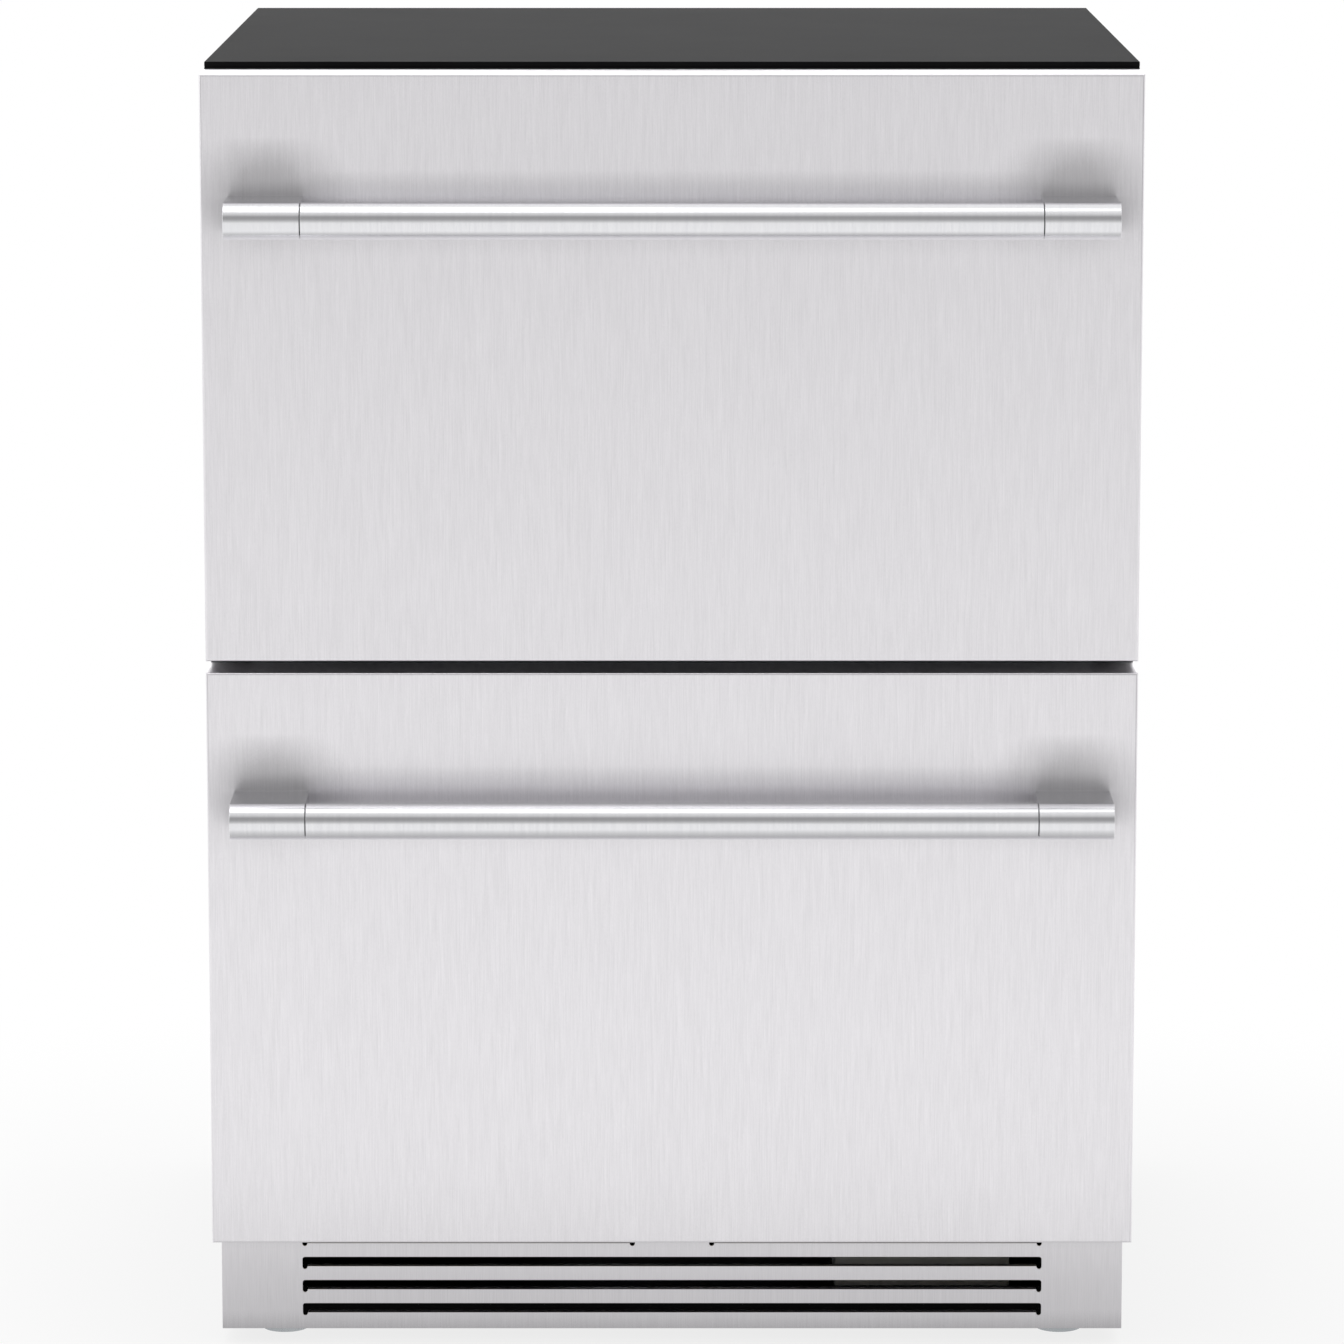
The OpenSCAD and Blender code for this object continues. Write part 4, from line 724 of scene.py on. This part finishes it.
def makeBack():
    bm = nodeShape("back_panel")
    low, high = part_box("back_panel")
    roomLow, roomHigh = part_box("rear_cover")
    soften(bm, backSheet["edgeRadius"], where=lambda p: p.y < high.y - 2 * mm)
    sink(bm, high.y)
    face = high.y - backSheet["sunk"] * mm
    inset = backSheet["beadInset"] * mm
    beads = backSheet["beads"]
    for i in range(beads):
        x = (i - (beads - 1) / 2) * (high.x - low.x - 2 * inset) / (beads - 1)
        addBead(bm, x, face, roomHigh.z + inset, high.z - inset)
    makePiece("backPanel", bm, "galvanised", "root", ("back_panel",))

    edge = backSheet["screwInset"] * mm
    pitch = backSheet["screwPitch"] * mm
    places = []
    across = round((high.x - low.x) / pitch)
    for i in range(across + 1):
        x = low.x + edge + i * (high.x - low.x - 2 * edge) / across
        places.append((x, face, high.z - edge))
        places.append((x, face, roomHigh.z + edge))
    up = round((high.z - roomHigh.z) / pitch)
    for i in range(1, up):
        z = roomHigh.z + edge + i * (high.z - roomHigh.z - 2 * edge) / up
        places += [(low.x + edge, face, z), (high.x - edge, face, z)]
    makeScrews("backPanelScrews", places, (0, 1, 0), backSheet["screwDiameter"],
               backSheet["screwHeight"], "root")


def makeRearCover():
    bm = nodeShape("rear_cover")
    low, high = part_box("rear_cover")
    sink(bm, high.y)
    gap = backSheet["coverGap"] * mm
    for vert in bm.verts:
        if vert.co.x < low.x + gap:
            vert.co.x += gap
        if vert.co.x > high.x - gap:
            vert.co.x -= gap
        if vert.co.z > high.z - gap:
            vert.co.z -= gap
    makePiece("rearCover", bm, slotOf["rear_cover"], "root", ("rear_cover",))
    face = high.y - backSheet["sunk"] * mm
    edge = backSheet["screwInset"] * mm
    places = []
    for x in (low.x + edge, 0, high.x - edge):
        places += [(x, face, low.z + edge), (x, face, high.z - edge)]
    makeScrews("rearCoverScrews", places, (0, 1, 0), backSheet["screwDiameter"],
               backSheet["screwHeight"], "root")


makeCabinet()
makeBack()
makeRearCover()
print("cabinet made")


# ---- drawer fronts and handles ----

gasketShape = {
    # outline of the extrusion in millimetres: inwards from its outer edge, and back from the
    # drawer front; a foot, a narrow fold and the magnet strip
    "outline": [(0.2, 0), (9.8, 0), (10, 0.5), (9.5, 1.1), (7.6, 1.2), (7.4, 1.9), (8.3, 2.4),
                (8.5, 3.0), (8.5, 5.3), (8.1, 5.8), (1.9, 5.8), (1.5, 5.3), (1.5, 3.0),
                (1.7, 2.4), (2.6, 1.9), (2.4, 1.2), (0.5, 1.1), (0, 0.5)],
}


def makeGasket(drawer):
    # one extrusion welded at four mitres, drawn round the back of the drawer front
    low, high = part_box(drawer + "_gasket")
    scale = (high.y - low.y) / (max(y for a, y in gasketShape["outline"]) * mm)
    bm = bmesh.new()
    corners = []
    for sx, sz in ((-1, -1), (1, -1), (1, 1), (-1, 1)):
        x = high.x if sx > 0 else low.x
        z = high.z if sz > 0 else low.z
        corners.append([bm.verts.new((x - sx * a * mm, low.y + y * scale * mm, z - sz * a * mm))
                        for a, y in gasketShape["outline"]])
    count = len(gasketShape["outline"])
    for i in range(4):
        here, there = corners[i], corners[(i + 1) % 4]
        for k in range(count):
            bm.faces.new((here[k], here[(k + 1) % count], there[(k + 1) % count], there[k]))
    bmesh.ops.recalc_face_normals(bm, faces=bm.faces)
    makePiece(drawer + "Gasket", bm, "gasket_rubber", drawer + "_drawer",
              (drawer + "_gasket",), creaseDegrees=60)


frontEdges = {                     # mm
    "fold": 0.9, "sheet": 0.25,    # the skin's folds round the front, and its other edges
    "foam": 0.5, "raised": 4, "rim": 0.8, "rimFrom": 290,
    "bar": 0.35, "screws": 0.3,
}


def makeFront(drawer):
    softened(drawer + "_front_foam", frontEdges["foam"], 1)
    bm = nodeShape(drawer + "_front_skin")
    low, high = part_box(drawer + "_front_skin")
    soften(bm, frontEdges["fold"], 3, where=lambda p: p.y < low.y + near and (
        abs(p.x) > high.x - mm or p.z > high.z - mm or p.z < low.z + mm))
    soften(bm, frontEdges["sheet"])
    makePiece(drawer + "FrontSkin", bm, "stainless", drawer + "_drawer",
              (drawer + "_front_skin",))
    # the inner panel's raised middle has the round edges of a moulding
    bm = nodeShape(drawer + "_front_inner")
    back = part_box(drawer + "_gasket")[0].y
    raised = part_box(drawer + "_front_inner")[1].y
    soften(bm, frontEdges["raised"], 5, where=lambda p: p.y > raised - near)
    soften(bm, frontEdges["rim"], 2, sharpDegrees=60,
           where=lambda p: p.y < back + near and abs(p.x) > frontEdges["rimFrom"] * mm)
    makePiece(drawer + "FrontInner", bm, "panel_plastic", drawer + "_drawer",
              (drawer + "_front_inner",))
    makeGasket(drawer)


def makeHandle(drawer):
    softened(drawer + "_handle_bar", frontEdges["bar"], 3)
    softened(drawer + "_handle_brackets", frontEdges["bar"], 3, material=bracketFinish)
    softened(drawer + "_handle_screws", frontEdges["screws"])


for drawer in drawers:
    makeFront(drawer)
    makeHandle(drawer)
print("fronts and handles made")


# ---- drawers and slides ----

binShape = {                       # mm
    "wall": 2.5, "rimReach": 8,
    "floorRadius": 2.1, "rimRadius": 1.1, "edgeRadius": 1.2,
    "ribHeight": 1.2, "ribWidth": 3, "ribPitch": 42, "ribMargin": 26,
}


def addFloorRibs(bm, low, high, z):
    # low moulded ribs that keep food off the floor, with chamfered tops
    rib, top = binShape["ribWidth"] * mm / 2, binShape["ribHeight"] * mm
    margin = binShape["ribMargin"] * mm
    count = int((high.x - low.x - 2 * margin) / (binShape["ribPitch"] * mm))
    outline = [Vector((-rib, 0, 0)), Vector((rib, 0, 0)), Vector((rib * 0.5, 0, top)),
               Vector((-rib * 0.5, 0, top))]
    for i in range(count + 1):
        x = (i - count / 2) * binShape["ribPitch"] * mm
        start = Vector((x, low.y + margin, z))
        addPrism(bm, outline, start, Vector((0, high.y - low.y - 2 * margin, 0)))


def makeBin(drawer):
    node = drawer + "_bin"
    bm = nodeShape(node)
    low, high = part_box(node)
    levels = sorted({round(v.co.z, 5) for v in bm.verts})
    floorIn, seatIn = levels[1], levels[3]
    innerHalf = high.x - (binShape["rimReach"] + binShape["wall"] / 2) * mm

    def inside(p):
        # on the inner floor or on the inner face of the step
        return abs(p.x) < innerHalf and (abs(p.z - floorIn) < near or abs(p.z - seatIn) < near)
    soften(bm, binShape["floorRadius"], 3, where=inside)
    soften(bm, binShape["rimRadius"], 3, where=lambda p: p.z > high.z - near)
    soften(bm, binShape["edgeRadius"], 3, where=lambda p: p.z < low.z + near)
    floorVerts = [v.co for v in bm.verts if abs(v.co.z - floorIn) < near]
    floorLow = Vector((min(v.x for v in floorVerts), min(v.y for v in floorVerts), 0))
    floorHigh = Vector((max(v.x for v in floorVerts), max(v.y for v in floorVerts), 0))
    addFloorRibs(bm, floorLow, floorHigh, floorIn - near)
    makePiece(pieceName(node), bm, "bin_plastic", drawer + "_drawer", (node,))


steelEdges = {"frame": 0.35, "rail": 0.2}      # mm

for drawer in drawers:
    makeBin(drawer)
    softened(drawer + "_drawer_frame", steelEdges["frame"])
    for part in ("outer", "inner", "middle"):
        softened(f"{drawer}_slide_{part}", steelEdges["rail"])
print("drawers made")


# ---- cold side, controls and lamps ----

controlEdges = {"led_lamps": 0.8, "temperature_sensors": 0.6, "control_panel": 0.8,
                "control_board": 1.2, "power_inlet": 0.7}      # mm

for node, radius in controlEdges.items():
    rounder = node in ("led_lamps", "control_panel")
    softened(node, radius, 3 if rounder else 2,
             material=lampFinish if node == "led_lamps" else None)

inletPins = {
    "width": 2, "height": 4, "length": 15, "chamfer": 0.5, "depth": 19.5,
    "places": ((-7, -2), (0, 2), (7, -2)),     # mm from the inlet's middle
}


def makeInletPins():
    # three flat contact pins on the floor of the socket
    low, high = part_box("power_inlet")
    middle = Vector(((low.x + high.x) / 2, high.y - inletPins["depth"] * mm,
                     (low.z + high.z) / 2))
    w, h, c = (inletPins[key] * mm for key in ("width", "height", "chamfer"))
    outline = [Vector((x * w / 2 - i * c * x, 0, z * h / 2 - (1 - i) * c * z))
               for x, z, i in ((-1, -1, 0), (-1, -1, 1), (1, -1, 1), (1, -1, 0),
                               (1, 1, 0), (1, 1, 1), (-1, 1, 1), (-1, 1, 0))]
    bm = bmesh.new()
    for x, z in inletPins["places"]:
        start = middle + Vector((x * mm, 0, z * mm))
        addPrism(bm, outline, start, Vector((0, inletPins["length"] * mm, 0)))
    bmesh.ops.recalc_face_normals(bm, faces=bm.faces)
    soften(bm, 0.35, 2, where=lambda p: p.y > middle.y + 0.5 * inletPins["length"] * mm,
           sharpDegrees=60)
    makePiece("powerInletPins", bm, "bright_zinc", "root")


controlMarks = {"dots": 5, "pitch": 26, "radius": 3.6, "thickness": 0.12, "steps": 24}


def makeControlMarks():
    # round touch marks printed on the glass
    low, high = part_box("control_panel")
    bm = bmesh.new()
    radius, thickness = controlMarks["radius"] * mm, controlMarks["thickness"] * mm
    for i in range(controlMarks["dots"]):
        x = (i - (controlMarks["dots"] - 1) / 2) * controlMarks["pitch"] * mm
        centre = Vector((x, (low.y + high.y) / 2, low.z))
        addLathe(bm, [(radius, 0), (radius, thickness * 0.6), (radius * 0.96, thickness)],
                 controlMarks["steps"], centre, facing((0, 0, -1)))
    makePiece("controlMarks", bm, "white_plastic", "root")


coverScrew = {"diameter": 7, "height": 2,
              "inset": {"evaporator_cover": 22, "lower_duct_cover": 9}}    # mm


def makeCoverScrews():
    # pan heads that hold the evaporator cover and the lower duct cover
    places = []
    for node, inset in coverScrew["inset"].items():
        low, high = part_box(node)
        for x in (low.x + inset * mm, high.x - inset * mm):
            for z in (low.z + inset * mm, high.z - inset * mm):
                places.append((x, low.y, z))
    makeScrews("coverScrews", places, (0, -1, 0), coverScrew["diameter"], coverScrew["height"],
               "root")


makeInletPins()
makeControlMarks()
makeCoverScrews()
print("controls made")


# ---- compressor room ----

roomEdges = {"compressor_grommets": 0.8, "condenser_shroud": 0.5, "condenser_fan_motor": 0.6,
             "evaporator_fan_motor": 0.6, "drip_tray": 0.5}    # mm

for node, radius in roomEdges.items():
    softened(node, radius)

fanShape = {
    "radius": {"condenser_fan": 60, "evaporator_fan": 42},     # mm
    "blades": 5, "hubRadius": 15, "hubLength": 16, "shaftRadius": 2, "thickness": 1.6,
    "rootChord": 22, "tipChord": 42, "chordRadius": 60,    # chords of a fan of this radius
    "rootPitch": 38, "tipPitch": 20, "sweep": 16,          # degrees
    "camber": 1.6, "tipGap": 0.4, "rows": 9, "columns": 8,
}


def addBlade(bm, centre, start, tip):
    # one moulded blade: wider, flatter and swept forwards towards its tip
    shape = fanShape
    root = shape["hubRadius"] * mm - 1 * mm
    half = shape["thickness"] * mm / 2
    faces = []
    for side in (-1, 1):
        grid = []
        for i in range(shape["rows"] + 1):
            t = i / shape["rows"]
            radius = root + t * (tip - root)
            chord = shape["rootChord"] + t * (shape["tipChord"] - shape["rootChord"])
            chord *= tip / (shape["chordRadius"] * mm)
            pitch = math.radians(shape["rootPitch"]
                                 + t * (shape["tipPitch"] - shape["rootPitch"]))
            row = []
            for k in range(shape["columns"] + 1):
                u = math.cos(math.pi * (1 - k / shape["columns"]))
                across = u * chord * mm / 2
                angle = start + math.radians(shape["sweep"]) * t * t \
                    + across * math.cos(pitch) / max(radius, root * 1.2)
                bulge = shape["camber"] * mm * (1 - u * u)
                thick = half * math.sqrt(max(0, 1 - u ** 6)) + 0.1 * mm
                axial = across * math.sin(pitch) * 0.85 + bulge + side * thick
                row.append(bm.verts.new(centre + Vector((radius * math.cos(angle), axial,
                                                         radius * math.sin(angle)))))
            grid.append(row)
        faces.append(grid)
    under, over = faces
    rows, columns = shape["rows"], shape["columns"]
    for i in range(rows):
        for k in range(columns):
            for grid in (under, over):
                bm.faces.new((grid[i][k], grid[i][k + 1], grid[i + 1][k + 1], grid[i + 1][k]))
        for k in (0, columns):
            bm.faces.new((under[i][k], under[i + 1][k], over[i + 1][k], over[i][k]))
    for i in (0, rows):
        for k in range(columns):
            bm.faces.new((under[i][k], under[i][k + 1], over[i][k + 1], over[i][k]))


def makeFan(node, radius):
    # hub with a round nose, moulded blades and the shaft, turning about Y in line with its motor
    low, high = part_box(node)
    motorLow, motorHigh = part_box(node + "_motor")
    middle = (motorLow + motorHigh) / 2
    front = Vector((middle.x, low.y, middle.z))
    length, hub = fanShape["hubLength"] * mm, fanShape["hubRadius"] * mm
    shaft = fanShape["shaftRadius"] * mm
    bm = bmesh.new()
    addLathe(bm, [(hub - 5 * mm, 0), (hub - 2.2 * mm, 0.5 * mm), (hub - 0.7 * mm, 1.7 * mm),
                  (hub, 3.6 * mm), (hub, length - 0.5 * mm), (hub - 0.5 * mm, length)],
             40, front, facing((0, 1, 0)))
    addLathe(bm, [(shaft, length - 1 * mm), (shaft, high.y - low.y - 0.5 * mm),
                  (shaft - 0.4 * mm, high.y - low.y)], 16, front, facing((0, 1, 0)))
    middle = front + Vector((0, length / 2, 0))
    for i in range(fanShape["blades"]):
        addBlade(bm, middle, 2 * math.pi * i / fanShape["blades"],
                 (radius - fanShape["tipGap"]) * mm)
    bmesh.ops.recalc_face_normals(bm, faces=bm.faces)
    makePiece(pieceName(node), bm, slotOf[node], bodyOf[node], (node,), creaseDegrees=45)


for fan, radius in fanShape["radius"].items():
    makeFan(fan, radius)
print("compressor room made")


# ---- levelling legs ----

legShape = {                       # mm
    "studRadius": 5, "threadPitch": 1.5, "threadDepth": 0.65, "plainEnd": 1.5,
    "footHeight": 8, "footEdge": 1.5, "steps": 28, "rowsPerPitch": 5,
}


def makeLeg(node):
    # a zinc plated foot with a rounded rim and a stud with its real thread
    low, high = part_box(node)
    centre = Vector(((low.x + high.x) / 2, (low.y + high.y) / 2, 0))
    footRadius = (high.x - low.x) / 2
    studRadius = legShape["studRadius"] * mm
    footTop = legShape["footHeight"] * mm
    edge = legShape["footEdge"] * mm
    bm = bmesh.new()
    profile = [(footRadius - edge * 0.4, 0), (footRadius, edge * 0.4),
               (footRadius, footTop - 2 * mm), (footRadius - 0.6 * mm, footTop - 1 * mm),
               (footRadius - 4 * mm, footTop), (studRadius - 0.5 * mm, footTop)]
    addLathe(bm, profile, 48, centre, Matrix.Identity(3))
    pitch = legShape["threadPitch"] * mm
    depth = legShape["threadDepth"] * mm
    steps = legShape["steps"]
    rows = int((high.z - footTop) / pitch * legShape["rowsPerPitch"])
    rings = []
    for row in range(rows + 1):
        z = footTop - 0.2 * mm + (high.z - footTop + 0.2 * mm) * row / rows
        endFade = min(1, (high.z - z) / (legShape["plainEnd"] * mm))
        ring = []
        for k in range(steps):
            turn = k / steps
            phase = (z / pitch - turn) % 1
            groove = 1 - abs(2 * phase - 1)
            radius = studRadius - depth * groove - (1 - endFade) * 0.8 * mm
            angle = 2 * math.pi * turn
            ring.append(bm.verts.new(centre + Vector((radius * math.cos(angle),
                                                      radius * math.sin(angle), z))))
        rings.append(ring)
    joinRings(bm, rings)
    bm.faces.new(rings[-1])
    makePiece(pieceName(node), bm, "zinc_steel", bodyOf[node], (node,), creaseDegrees=35)


for side in ("front_left", "front_right", "rear_left", "rear_right"):
    makeLeg("leg_" + side)
print("legs made")


# the nodes whose own shape shows take the finish of their slot
for name, node in nodes.items():
    node.data.materials.clear()
    node.data.materials.append(finishes[slotOf[name]])
